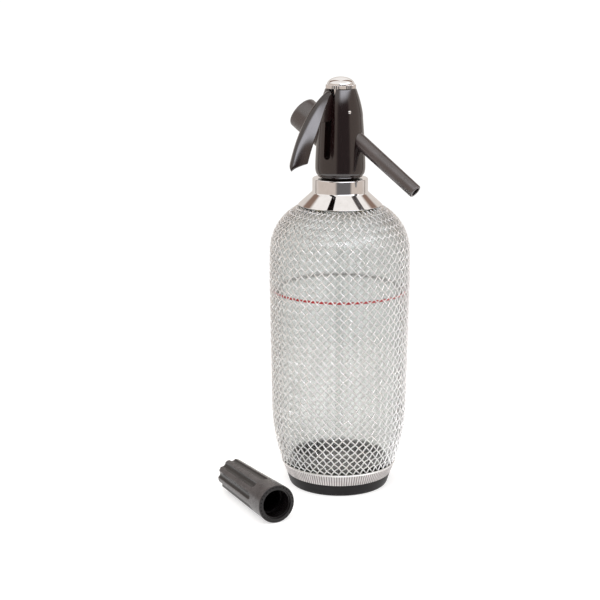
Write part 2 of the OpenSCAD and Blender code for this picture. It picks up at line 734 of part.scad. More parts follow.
// ---------------------------------------------------------------- gas port
module port_nipple() {
    color([0.7, 0.7, 0.72]) on_port() difference() {
        union() {
            rod(spigot_r, 11.2, barrel_start + 1);
            turned([
                [0, barrel_start + run], [barrel_r, barrel_start + run],
                [barrel_r, barrel_end - 1], [barrel_r - 1, barrel_end], [0, barrel_end]]);
        }
        // Gas way, then the socket for the charger's neck
        rod(1.3, 10, barrel_end);
        rod(charger_neck_r, neck_socket_z, barrel_end + 1);
    }
}

module piercing_pin() {
    z0 = neck_socket_z + run;
    z1 = z0 + spike_plate_t;
    color([0.8, 0.8, 0.82]) on_port() difference() {
        turned([
            [0, z0], [charger_neck_r - run, z0], [charger_neck_r - run, z1],
            [1.1, z1], [1.1, z1 + 4.5], [0.3, z1 + 6.5], [0, z1 + 6.5]]);
        // Gas hole beside the spike
        translate([2, 0, z0 - 1]) cylinder(r = 0.6, h = spike_plate_t + 2);
    }
}

module charger_gasket() {
    z0 = neck_socket_z + spike_plate_t + 2 * run;
    color([0.12, 0.12, 0.12]) on_port() tube(charger_neck_r - run, 2.2, z0, z0 + 2);
}

module check_valve() {
    color([0.12, 0.12, 0.12]) on_port() rod(spigot_r - 0.2, 9.8, 11);
}

module port_cap() {
    inner = barrel_r + screw_gap;
    end = cap_start + port_cap_len;
    edge = 2.2;
    color([0.16, 0.14, 0.14]) on_port() difference() {
        turned(concat(
            [[0, cap_start], [port_cap_r - 0.5, cap_start], [port_cap_r, cap_start + 0.5]],
            arc(port_cap_r - edge, end - edge - 0.6, edge, 0, 75, 4),
            [[port_cap_r / 2, end - 0.2], [0, end]]));
        rod(inner, cap_start - 1, barrel_end + 0.4);
    }
}

// ---------------------------------------------------------------- charger holder
module charger_holder() {
    groove_r = 3.2;
    groove_len = holder_len - 20.5;
    edge = 1.6;
    color([0.16, 0.15, 0.15]) on_holder() difference() {
        turned(concat(
            [[0, 0]],
            arc(holder_end_r - edge, edge, edge, 270, 360, 4),
            [[holder_mouth_r, holder_len - 0.8], [holder_mouth_r - 0.8, holder_len], [0, holder_len]]));
        rod(charger_bore_r, holder_floor, holder_len + 1);
        rod(holder_thread_r, holder_len - holder_thread_len, holder_len + 1);
        // Grip grooves, each with a round end short of the mouth
        for (i = [0:grip_grooves - 1]) {
            rotate([0, 0, 360 * (i + 0.5) / grip_grooves])
                translate([holder_end_r + groove_r - groove_depth, 0, 0])
                rotate([0, holder_tilt, 0]) {
                    translate([0, 0, -1]) cylinder(r = groove_r, h = groove_len + 1);
                    translate([0, 0, groove_len]) sphere(r = groove_r);
                }
        }
    }
}

module holder_thread() {
    inner = barrel_r + screw_gap;
    z0 = holder_len - holder_thread_len + run;
    color([0.3, 0.29, 0.29]) on_holder()
        tube(holder_thread_r - run, inner, z0, holder_len - 1.2);
}

// ---------------------------------------------------------------- the parts
base_cup();
hem_band();
hem_wire();
glass_bottle();
mesh_sleeve();
neck_ring();
neck_collar();
lip_washer();
riser_tube();
tube_holder();
valve_body();
head_shell();
dome_cap();
valve_washer();
valve_stem();
stem_seal();
gland_nut();
valve_spring();
lever();
lever_pin();
spout();
port_nipple();
piercing_pin();
charger_gasket();
check_valve();
port_cap();
charger_holder();
holder_thread();
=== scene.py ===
"""The looks of a soda siphon: a glass bottle in a woven wire sleeve, a lever head and a charger holder.

Shapes are worked out in millimetres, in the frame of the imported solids: +Z up, +X towards the spout,
-X towards the gas port and -Y towards the lever. Each visible piece stands for the solid of the same
part, keeps its size and place, and adds what the solid leaves plain: the weave of the sleeve, the ribs
of the band, the threads, the rounded edges and the finish of every surface.
"""
import json
import math

import bmesh
import bpy
import numpy as np
from mathutils import Euler, Matrix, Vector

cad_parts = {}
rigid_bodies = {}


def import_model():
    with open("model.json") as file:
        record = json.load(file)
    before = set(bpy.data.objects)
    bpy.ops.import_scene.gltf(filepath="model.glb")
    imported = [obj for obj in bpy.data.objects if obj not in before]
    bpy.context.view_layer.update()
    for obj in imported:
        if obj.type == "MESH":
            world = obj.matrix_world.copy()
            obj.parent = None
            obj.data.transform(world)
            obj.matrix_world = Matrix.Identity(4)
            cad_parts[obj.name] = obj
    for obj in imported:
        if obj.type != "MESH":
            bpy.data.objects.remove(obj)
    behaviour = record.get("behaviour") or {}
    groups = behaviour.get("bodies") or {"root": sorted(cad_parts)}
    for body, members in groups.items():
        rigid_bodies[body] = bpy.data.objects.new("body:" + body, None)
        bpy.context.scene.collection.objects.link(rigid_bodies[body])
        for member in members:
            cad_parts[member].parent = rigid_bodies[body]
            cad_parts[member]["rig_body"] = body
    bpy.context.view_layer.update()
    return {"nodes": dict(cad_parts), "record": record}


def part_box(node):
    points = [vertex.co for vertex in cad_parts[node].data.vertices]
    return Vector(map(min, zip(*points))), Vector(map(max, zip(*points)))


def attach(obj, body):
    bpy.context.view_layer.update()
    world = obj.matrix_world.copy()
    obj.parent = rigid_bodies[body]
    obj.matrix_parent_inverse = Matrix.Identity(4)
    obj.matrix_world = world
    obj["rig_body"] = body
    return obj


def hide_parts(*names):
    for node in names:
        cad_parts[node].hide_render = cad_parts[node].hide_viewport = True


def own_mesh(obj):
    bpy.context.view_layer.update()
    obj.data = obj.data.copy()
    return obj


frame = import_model()

MM = 0.001
SLOT_OF = {part["node"]: part["material_slot"] for part in frame["record"]["subparts"]}


def low(node, axis=2):
    """The lowest coordinate of a solid along an axis, in millimetres."""
    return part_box(node)[0][axis] / MM


def high(node, axis=2):
    """The highest coordinate of a solid along an axis, in millimetres."""
    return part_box(node)[1][axis] / MM


# ---------------------------------------------------------------- sizes, in millimetres and degrees
# Steps round a turned piece, and round one whose outline shows most
STEPS = 144
FINE_STEPS = 192

# Points nearer than this are merged
MERGE = 0.002

# Clearances, and the pitch of every thread
SEAT = 0.2
RUN = 0.05
SCREW_GAP = 0.15
SLOT_GAP = 0.3
THREAD_PITCH = 1.8

# Body of the bottle, measured over the sleeve
BODY_R = 53.9
WIDEST_Z = 166
FLANK_TAPER = 1.4
FOOT_CURVE_Z = 65
FOOT_CURVE_R = 140
FOOT_CX = BODY_R - FLANK_TAPER - FOOT_CURVE_R
SHOULDER_Z = 184.5
SHOULDER_R = 39
SHOULDER_DROP = 0.3
SHOULDER_CX = BODY_R - SHOULDER_DROP - SHOULDER_R
SLEEVE_T = 2.25
SLEEVE_END = 65.5
GLASS_IN = 2.4
GLASS_WALL = 4.8
INSIDE_IN = GLASS_IN + GLASS_WALL
GLASS_FOOT_Z = 3.2
INSIDE_Z = 14.2
PUNT_H = 4
NECK_BORE_R = 10.5
NECK_R = 15.2
BEAD_R = 17.5
BEAD_H = 4.9
FILL_LINE_Z = 155
FILL_LINE_H = 1.7

# Weave: wires each way, height of half a mesh along the flank, radius of the wire
WIRES = 50
HALF_MESH = 3.305
WIRE_R = 0.5
WEAVE_RISE = 0.52

# Base cup, ribbed band and the wire at its edge
BASE_REST_R = 38
BASE_EDGE = 1.8
BASE_FLOOR_Z = 3
BASE_H = 9.3
BAND_H = 8.2
BAND_T = 0.9
BAND_TOP = BASE_H + BAND_H
BAND_RIBS = 140
RIB_DEPTH = 0.35
HEM_WIRE_R = 0.7

# Neck fitting
COLLAR_TOP = high("neck_collar")
COLLAR_Z = COLLAR_TOP - 10.5
COLLAR_R = 21
COLLAR_T = 1.2
SKIRT_Z = low("neck_collar")
SKIRT_R = high("neck_collar", 0)
SHANK_R = 13.3
LIP_Z = COLLAR_TOP - 9
BEAD_Z = LIP_Z - BEAD_H
BEAD_SLOPE = 0.6

# Head
HEAD_Z = low("head_shell")
HEAD_TOP = high("head_shell")
HEAD_FOOT_R = 16.6
HEAD_R = 18.9
HEAD_SIDE_R = 16.8
HEAD_TOP_R = 11.8
CORE_R = 11
CORE_TOP = HEAD_Z + 41.9
CAP_Z = HEAD_TOP + SEAT
CAP_RING_R = 11.3
CAP_RING_H = 2.8
CAP_SHANK_R = 8.4
CAP_SHANK_H = 6.7
DOME_H = 5.8
KNURLS = 40
KNURL_DEPTH = 0.45
YOKE_H = 6
VALVE_LIFT = 1.95
SPRING_R = 3.6
SPRING_WIRE_R = 0.45
SPRING_TURNS = 6

# Lever and its pin
PIN_Z = HEAD_Z + 49.4
PIN_OUT = 8.6
PIN_R = 1.4
PIN_HALF = 13.7
WEB_W = 5
BLADE_HALF_W = 8.1
BLADE_DEPTH = 8.9
BLADE_T = 1.8
RIDGE = ((8.4, 16), (42.5, 3.8), (57.9, -37.5))
RIDGE_ROUND = 0.37
RIDGE_T = 2.4
TIP_CUT = 0.1
SLOT_HALF = WEB_W / 2 + SLOT_GAP
SLOT_FLOOR = -7.5
SLOT_END = -35
BOSS_R = 3.9
NOSE_R = 1.7

# Spout
SPOUT_TILT = 35
SPOUT_LEN = 58.5
SPOUT_ROOT_R = 5.5
SPOUT_TIP_R = 5.1
SPOUT_BORE_R = 3.4
SPIGOT_R = 4

# Gas port
PORT_TILT = 35
BARREL_R = 10.2
BARREL_START = 20.85
BARREL_END = 40.4
BOSS_END = 24
PORT_CAP_R = 12.5
PORT_CAP_START = 24.3
PORT_CAP_END = 43.9
CHARGER_NECK_R = 5
CHARGER_SEAT_DEPTH = 12.9
GAS_PASSAGE_R = 1.3

# Charger holder
HOLDER_LEN = 79
HOLDER_END_R = 12.25
HOLDER_MOUTH_R = 14.3
CHARGER_BORE_R = 9.4
GROOVES = 9
GROOVE_R = 3.2
GROOVE_DEPTH = 1.5
GROOVE_LEN = HOLDER_LEN - 20.5
HOLDER_TILT = math.degrees(math.atan((HOLDER_MOUTH_R - HOLDER_END_R) / HOLDER_LEN))
HOLDER_TURN = -29
HOLDER_FOOT = (-57, -64, HOLDER_END_R * math.cos(math.radians(HOLDER_TILT)))
MOUTH_NOTCHES = 28
MOUTH_RIM = 0.8
THREAD_RING_T = 1.9
THREAD_RING_LEN = 14


def axis_frame(origin, turns):
    """The matrix that carries a shape drawn round +Z to an axis, turned about X, then Y, then Z."""
    return Matrix.Translation(origin) @ Euler([math.radians(a) for a in turns]).to_matrix().to_4x4()


ON_SPOUT = axis_frame((17.4, 0, HEAD_Z + 27.4), (0, 90 + SPOUT_TILT, 0))
ON_PORT = axis_frame((0, 0, HEAD_Z + 21.8), (0, PORT_TILT - 90, 0))
ON_HOLDER = axis_frame(HOLDER_FOOT, (0, 90 - HOLDER_TILT, HOLDER_TURN))
ON_PIN = axis_frame((0, -PIN_OUT, PIN_Z), (0, 90, 0))
# Carries a shape drawn in (out from the axis, up, across) to the plane of the lever's slot
IN_SLOT = Matrix(((0, 0, 1, 0), (-1, 0, 0, 0), (0, 1, 0, 0), (0, 0, 0, 1)))
# The same, with its zero on the pin
FROM_PIN = Matrix.Translation((0, -PIN_OUT, PIN_Z)) @ IN_SLOT


# ---------------------------------------------------------------- outlines
def arc(cx, cz, radius, start, end, steps):
    """Points of an arc round (cx, cz), from one angle to another in degrees."""
    a = np.radians(np.linspace(start, end, steps + 1))
    return np.stack([cx + radius * np.cos(a), cz + radius * np.sin(a)], -1)


def bezier(p0, p1, p2, steps):
    """Points of a quadratic Bezier curve."""
    t = np.linspace(0, 1, steps + 1)[:, None]
    return (1 - t) ** 2 * np.array(p0) + 2 * t * (1 - t) * np.array(p1) + t ** 2 * np.array(p2)


def eased(corners, steps=4):
    """An outline from corners (radius, height, ease): each becomes a quadratic curve that starts
    and ends its ease away from the corner, or at most two fifths of the side."""
    corners = [(*c, 0)[:3] for c in corners]
    made = []
    for i, (x, z, ease) in enumerate(corners):
        here = np.array([x, z], float)
        if not ease or i in (0, len(corners) - 1):
            made.append(here[None])
            continue
        ends = []
        for x2, z2, _ in (corners[i - 1], corners[i + 1]):
            side = np.array([x2, z2], float) - here
            length = np.linalg.norm(side)
            ends.append(here + side / length * min(ease, 0.4 * length))
        made.append(bezier(ends[0], here, ends[1], steps))
    return np.concatenate(made)


def body_outline(inset, z0, end, steps=24):
    """The body's outline moved inwards by inset: the foot's arc from height z0, the widest point of
    the flank, and the shoulder's arc up to an angle."""
    radius = FOOT_CURVE_R - inset
    start = math.degrees(math.asin((z0 - FOOT_CURVE_Z) / radius))
    return np.concatenate([
        arc(FOOT_CX, FOOT_CURVE_Z, radius, start, 0, steps),
        [[BODY_R - inset, WIDEST_Z]],
        arc(SHOULDER_CX, SHOULDER_Z, SHOULDER_R - inset, 0, end, steps)])


def foot_radius(inset, z):
    """The body's radius on the foot's arc at a height, moved inwards by inset."""
    return FOOT_CX + np.sqrt((FOOT_CURVE_R - inset) ** 2 - (FOOT_CURVE_Z - z) ** 2)


# ---------------------------------------------------------------- meshes
def grid_faces(rows, cols, wrap_rows=True, wrap_cols=True):
    """Four-sided faces of a grid of points, joined end to end where it wraps."""
    i, j = np.meshgrid(np.arange(rows - (not wrap_rows)), np.arange(cols - (not wrap_cols)), indexing="ij")
    a, b = i * cols, (i + 1) % rows * cols
    c, d = j, (j + 1) % cols
    return np.stack([a + c, b + c, b + d, a + d], -1).reshape(-1, 4)


def full_turn(steps):
    """A column of equal angles round a full turn."""
    return np.linspace(0, 2 * np.pi, steps, endpoint=False)[:, None]


def about_z(radius, a, height):
    """Points at a radius from Z, an angle and a height."""
    radius, a, height = np.broadcast_arrays(radius, a, height)
    return np.stack([radius * np.cos(a), radius * np.sin(a), height], -1)


def merge_doubles(mesh, turn_outwards=False):
    """Merges a mesh's doubled points, and turns its faces outwards where that is asked for."""
    work = bmesh.new()
    work.from_mesh(mesh)
    bmesh.ops.remove_doubles(work, verts=work.verts, dist=MERGE * MM)
    if turn_outwards:
        bmesh.ops.recalc_face_normals(work, faces=work.faces)
    work.to_mesh(mesh)
    work.free()


def solid(points, faces, place=None):
    """A closed mesh from points in millimetres, carried to its place."""
    mesh = bpy.data.meshes.new("solid")
    mesh.from_pydata(np.asarray(points).reshape(-1, 3) * MM, [], faces)
    if place is not None:
        mesh.transform(Matrix.Translation(place.translation * MM) @ place.to_3x3().to_4x4())
    merge_doubles(mesh, turn_outwards=True)
    obj = bpy.data.objects.new("solid", mesh)
    bpy.context.scene.collection.objects.link(obj)
    return obj


def turned(outline, place=None, ring=False, steps=STEPS):
    """An outline of (radius, height) turned round Z. A ring's outline is a closed loop; otherwise
    both its ends lie on the axis."""
    outline = np.asarray(outline, float)
    points = about_z(outline[:, 0], full_turn(steps), outline[:, 1])
    return solid(points, grid_faces(steps, len(outline), True, ring), place)


def rod(radius, z0, z1, place=None, steps=64):
    """A plain cylinder between two heights."""
    return turned([(0, z0), (radius, z0), (radius, z1), (0, z1)], place, steps=steps)


def prism(outline, half, edge, place=None):
    """A closed outline, counter-clockwise in its own plane, drawn out to half each way along its
    third axis, with the rims drawn in by edge all round."""
    outline = np.asarray(outline, float)
    along = np.roll(outline, -1, 0) - np.roll(outline, 1, 0)
    inward = np.stack([-along[:, 1], along[:, 0]], -1) / np.linalg.norm(along, axis=1)[:, None]
    n = len(outline)
    points = [np.column_stack([outline + inward * inset, np.full(n, height)]) for inset, height in
              ((edge, -half), (0, edge - half), (0, half - edge), (edge, half))]
    faces = grid_faces(4, n, False, True).tolist() + [list(range(n)), list(range(3 * n, 4 * n))]
    return solid(points, faces, place)


def carve(obj, operation, tools):
    """Joins the tools to a mesh, or cuts them out of it, one after another."""
    for tool in tools:
        step = obj.modifiers.new("carve", "BOOLEAN")
        step.operation = operation
        step.solver = "EXACT"
        step.object = tool
    graph = bpy.context.evaluated_depsgraph_get()
    mesh = bpy.data.meshes.new_from_object(obj.evaluated_get(graph))
    obj.modifiers.clear()
    obj.data = mesh
    for tool in tools:
        bpy.data.objects.remove(tool)
    merge_doubles(mesh)
    return obj


def cut(obj, *tools):
    return carve(obj, "DIFFERENCE", tools)


def join(obj, *tools):
    return carve(obj, "UNION", tools)


def threaded(outline, start, end, depth, place=None, ring=False):
    """A turned piece whose wall between two heights is cut by a V thread: the radius changes by
    depth times the distance from the crest, as a share of half the pitch. It fades at both ends."""
    rows = []
    outline = np.asarray(outline, float)
    wall_steps = int((end - start) / THREAD_PITCH * 8)
    for p, q in zip(outline, np.roll(outline, -1, 0) if ring else outline[1:]):
        is_wall = abs(p[0] - q[0]) < 0.01 and min(p[1], q[1]) <= start and max(p[1], q[1]) >= end
        share = np.linspace(0, 1, wall_steps if is_wall else 1, endpoint=False)[:, None]
        rows.append(p + (q - p) * share)
    if not ring:
        rows.append(outline[-1:])
    line = np.concatenate(rows)
    on_wall = np.concatenate([np.full(len(row), len(row) > 2) for row in rows])
    a = full_turn(STEPS)
    turns = line[:, 1] / THREAD_PITCH - a / (2 * np.pi)
    groove = 1 - np.abs(2 * (turns % 1) - 1)
    fade = np.clip(np.minimum(line[:, 1] - start, end - line[:, 1]) / THREAD_PITCH, 0, 1)
    radius = line[:, 0] + depth * groove * np.where(on_wall, fade, 0)
    return solid(about_z(radius, a, line[:, 1]), grid_faces(STEPS, len(line), True, ring), place)


# ---------------------------------------------------------------- finishes
class Value:
    """A shader socket that takes part in Python expressions: each operator adds a Math node."""

    def __init__(self, finish, socket):
        self.finish = finish
        self.socket = socket

    def math(self, operation, *terms):
        return self.finish.node("Math", {"operation": operation}, dict(enumerate(terms)))

    def __add__(self, other):
        return self.math("ADD", self, other)

    def __sub__(self, other):
        return self.math("SUBTRACT", self, other)

    def __mul__(self, other):
        return self.math("MULTIPLY", self, other)

    def wave(self):
        """The sine of the value."""
        return self.math("SINE", self)

    def step(self, start, end, low=0.0, high=1.0):
        """Runs from low to high, smoothly, while the value runs from start to end."""
        settings = {"interpolation_type": "SMOOTHSTEP"}
        return self.finish.node("MapRange", settings, {0: self, 1: start, 2: end, 3: low, 4: high})

    def within(self, start, end, soft):
        """1 between start and end and 0 outside, with soft to each side of both edges."""
        return self.step(start - soft, start + soft) * self.step(end + soft, end - soft)


class Nodes:
    """A shader tree that nodes are added to."""

    def __init__(self, tree):
        self.tree = tree

    def node(self, kind, settings=None, inputs=None, out=0):
        """Adds a node of a type, sets its settings first and then its sockets, and gives one output."""
        made = self.tree.nodes.new("ShaderNode" + kind)
        for name, value in (settings or {}).items():
            setattr(made, name, value)
        for socket, value in (inputs or {}).items():
            if isinstance(value, Value):
                self.tree.links.new(value.socket, made.inputs[socket])
            else:
                made.inputs[socket].default_value = value
        return Value(self, made.outputs[out])

    def mix(self, share, first, second):
        """A colour between two colours."""
        settings = {"data_type": "RGBA"}
        inputs = {0: share, 6: first if isinstance(first, Value) else (*first, 1),
                  7: second if isinstance(second, Value) else (*second, 1)}
        return self.node("Mix", settings, inputs, out=2)


class Finish(Nodes):
    """A material: its Principled shader, with plain values set on the sockets, and the nodes that
    vary its colour, roughness and normal over the surface."""

    def __init__(self, name, colour, **sockets):
        self.material = bpy.data.materials.new(name)
        self.material.use_nodes = True
        super().__init__(self.material.node_tree)
        self.shader = self.tree.nodes["Principled BSDF"]
        self.shader.inputs["Base Color"].default_value = (*colour, 1)
        for socket, value in sockets.items():
            self.shader.inputs[socket.replace("_", " ")].default_value = value

    def feed(self, socket, value):
        self.tree.links.new(value.socket, self.shader.inputs[socket])
        return self

    def here(self):
        """The point on the surface, in millimetres."""
        coordinates = self.node("TexCoord", out="Object")
        return self.node("VectorMath", {"operation": "SCALE"}, {0: coordinates, "Scale": 1 / MM})

    def noise(self, size, detail=3.0, stretch=(1, 1, 1)):
        """Cloudy noise about 0.5, whose spots are size millimetres across, drawn out by stretch."""
        point = self.node("VectorMath", {"operation": "DIVIDE"}, {0: self.here(), 1: stretch})
        return self.node("TexNoise", None, {"Vector": point, "Scale": 1 / size, "Detail": detail})

    def colours(self, share, first, second):
        return self.feed("Base Color", self.mix(share, first, second))

    def rough(self, value):
        return self.feed("Roughness", value)

    def bump(self, height, depth):
        """Raises the surface by up to depth millimetres where height is 1."""
        return self.feed("Normal", self.node("Bump", None, {"Height": height, "Distance": depth * MM}))

    def height(self):
        """The height of the point in millimetres."""
        return self.node("SeparateXYZ", None, {0: self.here()}, out=2)


def matte_moulding(name, colour, rough, grain, depth, **sockets):
    """Moulded plastic or rubber: a fine grain, paler in worn patches, and a little uneven."""
    finish = Finish(name, colour, **sockets)
    clouds = finish.noise(14, 4)
    speck = finish.noise(grain, 2)
    paler = tuple(c * 1.5 + 0.004 for c in colour)
    finish.colours(clouds.step(0.35, 0.75), colour, paler)
    finish.rough(clouds.step(0.2, 0.8, rough - 0.06, rough + 0.06) + speck * 0.06)
    finish.bump(speck, depth)
    return finish


def base_black():
    """Matte black cup, with pale dust and scuffs towards its lower edge."""
    finish = matte_moulding("base_black", (0.008, 0.007, 0.008), 0.42, 0.5, 0.04, IOR=1.28)
    low_edge = finish.height().step(3.5, 0.2)
    scuff = finish.noise(2.5, 6).step(0.56, 0.7) * low_edge
    finish.colours(scuff, finish.mix(finish.noise(14, 4).step(0.35, 0.75), (0.008, 0.007, 0.0075),
                                     (0.015, 0.0135, 0.0145)), (0.07, 0.065, 0.06))
    return finish


def band_metal():
    """Satin sheet, darkened between the ribs by painted shade so that it reads brighter on the crests,
    and greyer where the press has marked it."""
    finish = Finish("band_metal", (0.7, 0.67, 0.66), Metallic=1.0)
    marks = finish.noise(6, 5)
    x, y = (finish.node("SeparateXYZ", None, {0: finish.here()}, out=axis) for axis in range(2))
    rib = (x.math("ARCTAN2", y, x) * (BAND_RIBS / 2)).wave()
    sheet = finish.mix(marks.step(0.3, 0.75), (0.66, 0.63, 0.62), (0.52, 0.5, 0.49))
    # Painted shade: the sheet goes dark in the grooves between the ribs
    finish.colours((rib * rib).step(0.55, 0.1), sheet, (0.2, 0.18, 0.18))
    finish.rough(marks.step(0.2, 0.8, 0.26, 0.42))
    finish.bump(finish.noise(0.5, 3), 0.02)
    return finish


def sleeve_wire():
    """Bright drawn wire: fine die lines and a faint bloom."""
    finish = Finish("sleeve_wire", (0.8, 0.8, 0.8), Metallic=1.0)
    bloom = finish.noise(9, 3)
    finish.colours(bloom.step(0.3, 0.75), (0.95, 0.95, 0.945), (0.85, 0.85, 0.85))
    finish.rough(bloom.step(0.2, 0.8, 0.25, 0.34))
    finish.bump(finish.noise(0.35, 3), 0.02)
    return finish


def bottle_glass():
    """Clear pressed glass, a little wavy and hazy, and very slightly green."""
    finish = Finish("bottle_glass", (0.83, 0.845, 0.835), Roughness=0.1, IOR=1.5, Transmission_Weight=1.0)
    finish.bump(finish.noise(26, 1), 0.12)
    return finish


def fill_print():
    """Fired red enamel of the fill line, a little worn."""
    finish = Finish("fill_print", (0.5, 0.005, 0.015))
    worn = finish.noise(1.2, 4)
    finish.colours(worn.step(0.45, 0.75), (0.48, 0.004, 0.012), (0.6, 0.04, 0.045))
    finish.rough(worn.step(0.2, 0.8, 0.3, 0.5))
    return finish


def print_back():
    """The fill line from behind, through the glass: the grey of its undercoat, a little uneven."""
    finish = Finish("print_back", (0.56, 0.52, 0.51), Roughness=0.6)
    finish.colours(finish.noise(1.2, 4).step(0.35, 0.75), (0.48, 0.44, 0.43), (0.66, 0.62, 0.61))
    return finish


def brass():
    """Turned brass: fine tool rings by height, tarnished in clouds, and black in the gap between the
    collar and the head, where painted shade lies with old greasy dirt."""
    finish = Finish("brass", (0.78, 0.6, 0.32), Metallic=1.0)
    clouds = finish.noise(7, 4)
    rings = (finish.height() * 18.0).wave() * 0.5 + 0.5
    # Painted shade, with greasy dirt, blackens the brass in the gap between the collar and the head
    gap_shade_and_grease = finish.height().within(COLLAR_TOP - 1.2, HEAD_Z + 1.5, 0.4)
    finish.colours(gap_shade_and_grease, finish.mix(clouds.step(0.4, 0.75), (0.8, 0.63, 0.34), (0.55, 0.4, 0.2)),
                   (0.012, 0.01, 0.008))
    finish.rough(clouds.step(0.2, 0.8, 0.2, 0.38))
    finish.bump(rings, 0.012)
    return finish


def chrome():
    """Polished chrome plate: a very slight orange peel, and smudges that only dull it."""
    finish = Finish("chrome", (0.87, 0.87, 0.88), Metallic=1.0)
    smudge = finish.noise(5, 5)
    finish.colours(smudge.step(0.3, 0.8), (0.88, 0.88, 0.89), (0.82, 0.82, 0.82))
    finish.rough(smudge.step(0.45, 0.8, 0.03, 0.1))
    finish.bump(finish.noise(3, 1), 0.004)
    return finish


def inner_steel():
    """Turned steel with fine rings and light stain."""
    finish = Finish("inner_steel", (0.68, 0.68, 0.7), Metallic=1.0)
    stain = finish.noise(3, 4)
    finish.colours(stain.step(0.35, 0.75), (0.72, 0.72, 0.74), (0.55, 0.54, 0.53))
    finish.rough(stain.step(0.2, 0.8, 0.22, 0.4))
    finish.bump((finish.height() * 20.0).wave() * 0.5 + 0.5, 0.01)
    return finish


def seal_rubber():
    """Black rubber with a dusty bloom."""
    return matte_moulding("seal_rubber", (0.022, 0.022, 0.023), 0.72, 0.4, 0.04)


def tube_plastic():
    """Clear soft tube, drawn along its length, a little cloudy."""
    finish = Finish("tube_plastic", (0.97, 0.98, 0.97), Roughness=0.08, IOR=1.15, Transmission_Weight=1.0)
    streaks = finish.noise(1.2, 3, (1, 1, 14))
    finish.colours(streaks.step(0.3, 0.7), (0.99, 0.99, 0.99), (0.95, 0.96, 0.95))
    finish.rough(streaks.step(0.3, 0.7, 0.04, 0.12))
    return finish


def inner_plastic():
    """Black moulding of the tube's holder."""
    return matte_moulding("inner_plastic", (0.05, 0.05, 0.052), 0.5, 0.6, 0.03)


def head_black():
    """Gloss black moulding: deep, with a slow ripple and hairline wear that dulls the shine."""
    finish = Finish("head_black", (0.01, 0.004, 0.004), IOR=1.8)
    clouds = finish.noise(11, 3)
    hair = finish.noise(0.6, 5, (1, 1, 9)).step(0.62, 0.7)
    finish.colours(hair * 0.35, (0.01, 0.0035, 0.0035), (0.03, 0.022, 0.022))
    finish.rough(clouds.step(0.2, 0.8, 0.07, 0.16) + hair * 0.08)
    finish.bump(finish.noise(6, 1), 0.012)
    return finish


def satin_black():
    """Satin moulded tube and cap, brownish black, with a fine grain."""
    return matte_moulding("satin_black", (0.022, 0.014, 0.015), 0.27, 0.45, 0.02, IOR=2.15)


def holder_black():
    """The holder's coarser satin moulding: pale on the ridges with a painted highlight, uneven like worn
    spots, and black deeper in with painted shade, by the depth of a point under the cone that the ridges
    lie on."""
    finish = matte_moulding("holder_black", (0.01, 0.008, 0.008), 0.24, 0.5, 0.03, IOR=1.45)
    axis = ON_HOLDER.col[2][:3]
    offset = finish.node("VectorMath", {"operation": "SUBTRACT"}, {0: finish.here(), 1: HOLDER_FOOT})
    along = finish.node("VectorMath", {"operation": "DOT_PRODUCT"}, {0: offset, 1: axis}, out="Value")
    across = finish.node("VectorMath", {"operation": "CROSS_PRODUCT"}, {0: offset, 1: axis})
    radius = finish.node("VectorMath", {"operation": "LENGTH"}, {0: across}, out="Value")
    sunk = along * math.tan(math.radians(HOLDER_TILT)) + HOLDER_END_R - radius
    # Painted highlight on the ridges and painted shade in the grooves, made uneven by cloudy noise like
    # worn spots
    ridge_highlight_and_wear = sunk.step(0.5, 0.0) * (finish.noise(9, 4).step(0.2, 0.7) * 0.5 + 0.5)
    finish.colours(ridge_highlight_and_wear, (0.006, 0.0045, 0.005), (0.07, 0.063, 0.064))
    return finish


FINISHES = {make.__name__: make() for make in (
    base_black, band_metal, sleeve_wire, bottle_glass, brass, chrome, seal_rubber, tube_plastic,
    inner_plastic, head_black, inner_steel, satin_black, holder_black)}


def dress(obj, name, node, finish=None, sharp=32):
    """Names a piece, shades it smooth but for edges sharper than an angle, gives it a solid's finish,
    and lets it ride with that solid's body. It stands for the solid unless it has its own finish."""
    obj.name = name
    obj.data.name = name
    obj.data.polygons.foreach_set("use_smooth", np.ones(len(obj.data.polygons), bool))
    obj.data.set_sharp_from_angle(angle=math.radians(sharp))
    obj.data.materials.clear()
    obj.data.materials.append((finish or FINISHES[SLOT_OF[node]]).material)
    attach(obj, frame["nodes"][node]["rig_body"])
    if finish is None:
        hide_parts(node)
    return obj


# ---------------------------------------------------------------- base and sleeve
def make_base():
    """The cup: a flat foot, a flank on the body's foot curve, a step for the band, a flat floor."""
    step_in = BAND_T + SEAT
    heights = np.linspace(BASE_EDGE, BASE_H, 12)
    radii = foot_radius(0, heights) + (BASE_REST_R - foot_radius(0, 0)) * (1 - heights / BASE_H)
    under = np.linspace(BASE_H, BAND_TOP, 8)
    inner = np.linspace(BAND_TOP, BASE_FLOOR_Z, 14)
    outline = np.concatenate([
        eased([(0, 0), (BASE_REST_R - 0.3, 0, 1.4), (radii[0], BASE_EDGE)], 6),
        np.column_stack([radii, heights]),
        np.column_stack([foot_radius(step_in, under), under]),
        np.column_stack([foot_radius(SLEEVE_T, inner), inner]),
        [(0, BASE_FLOOR_Z)]])
    dress(turned(outline), "base", "base_cup")


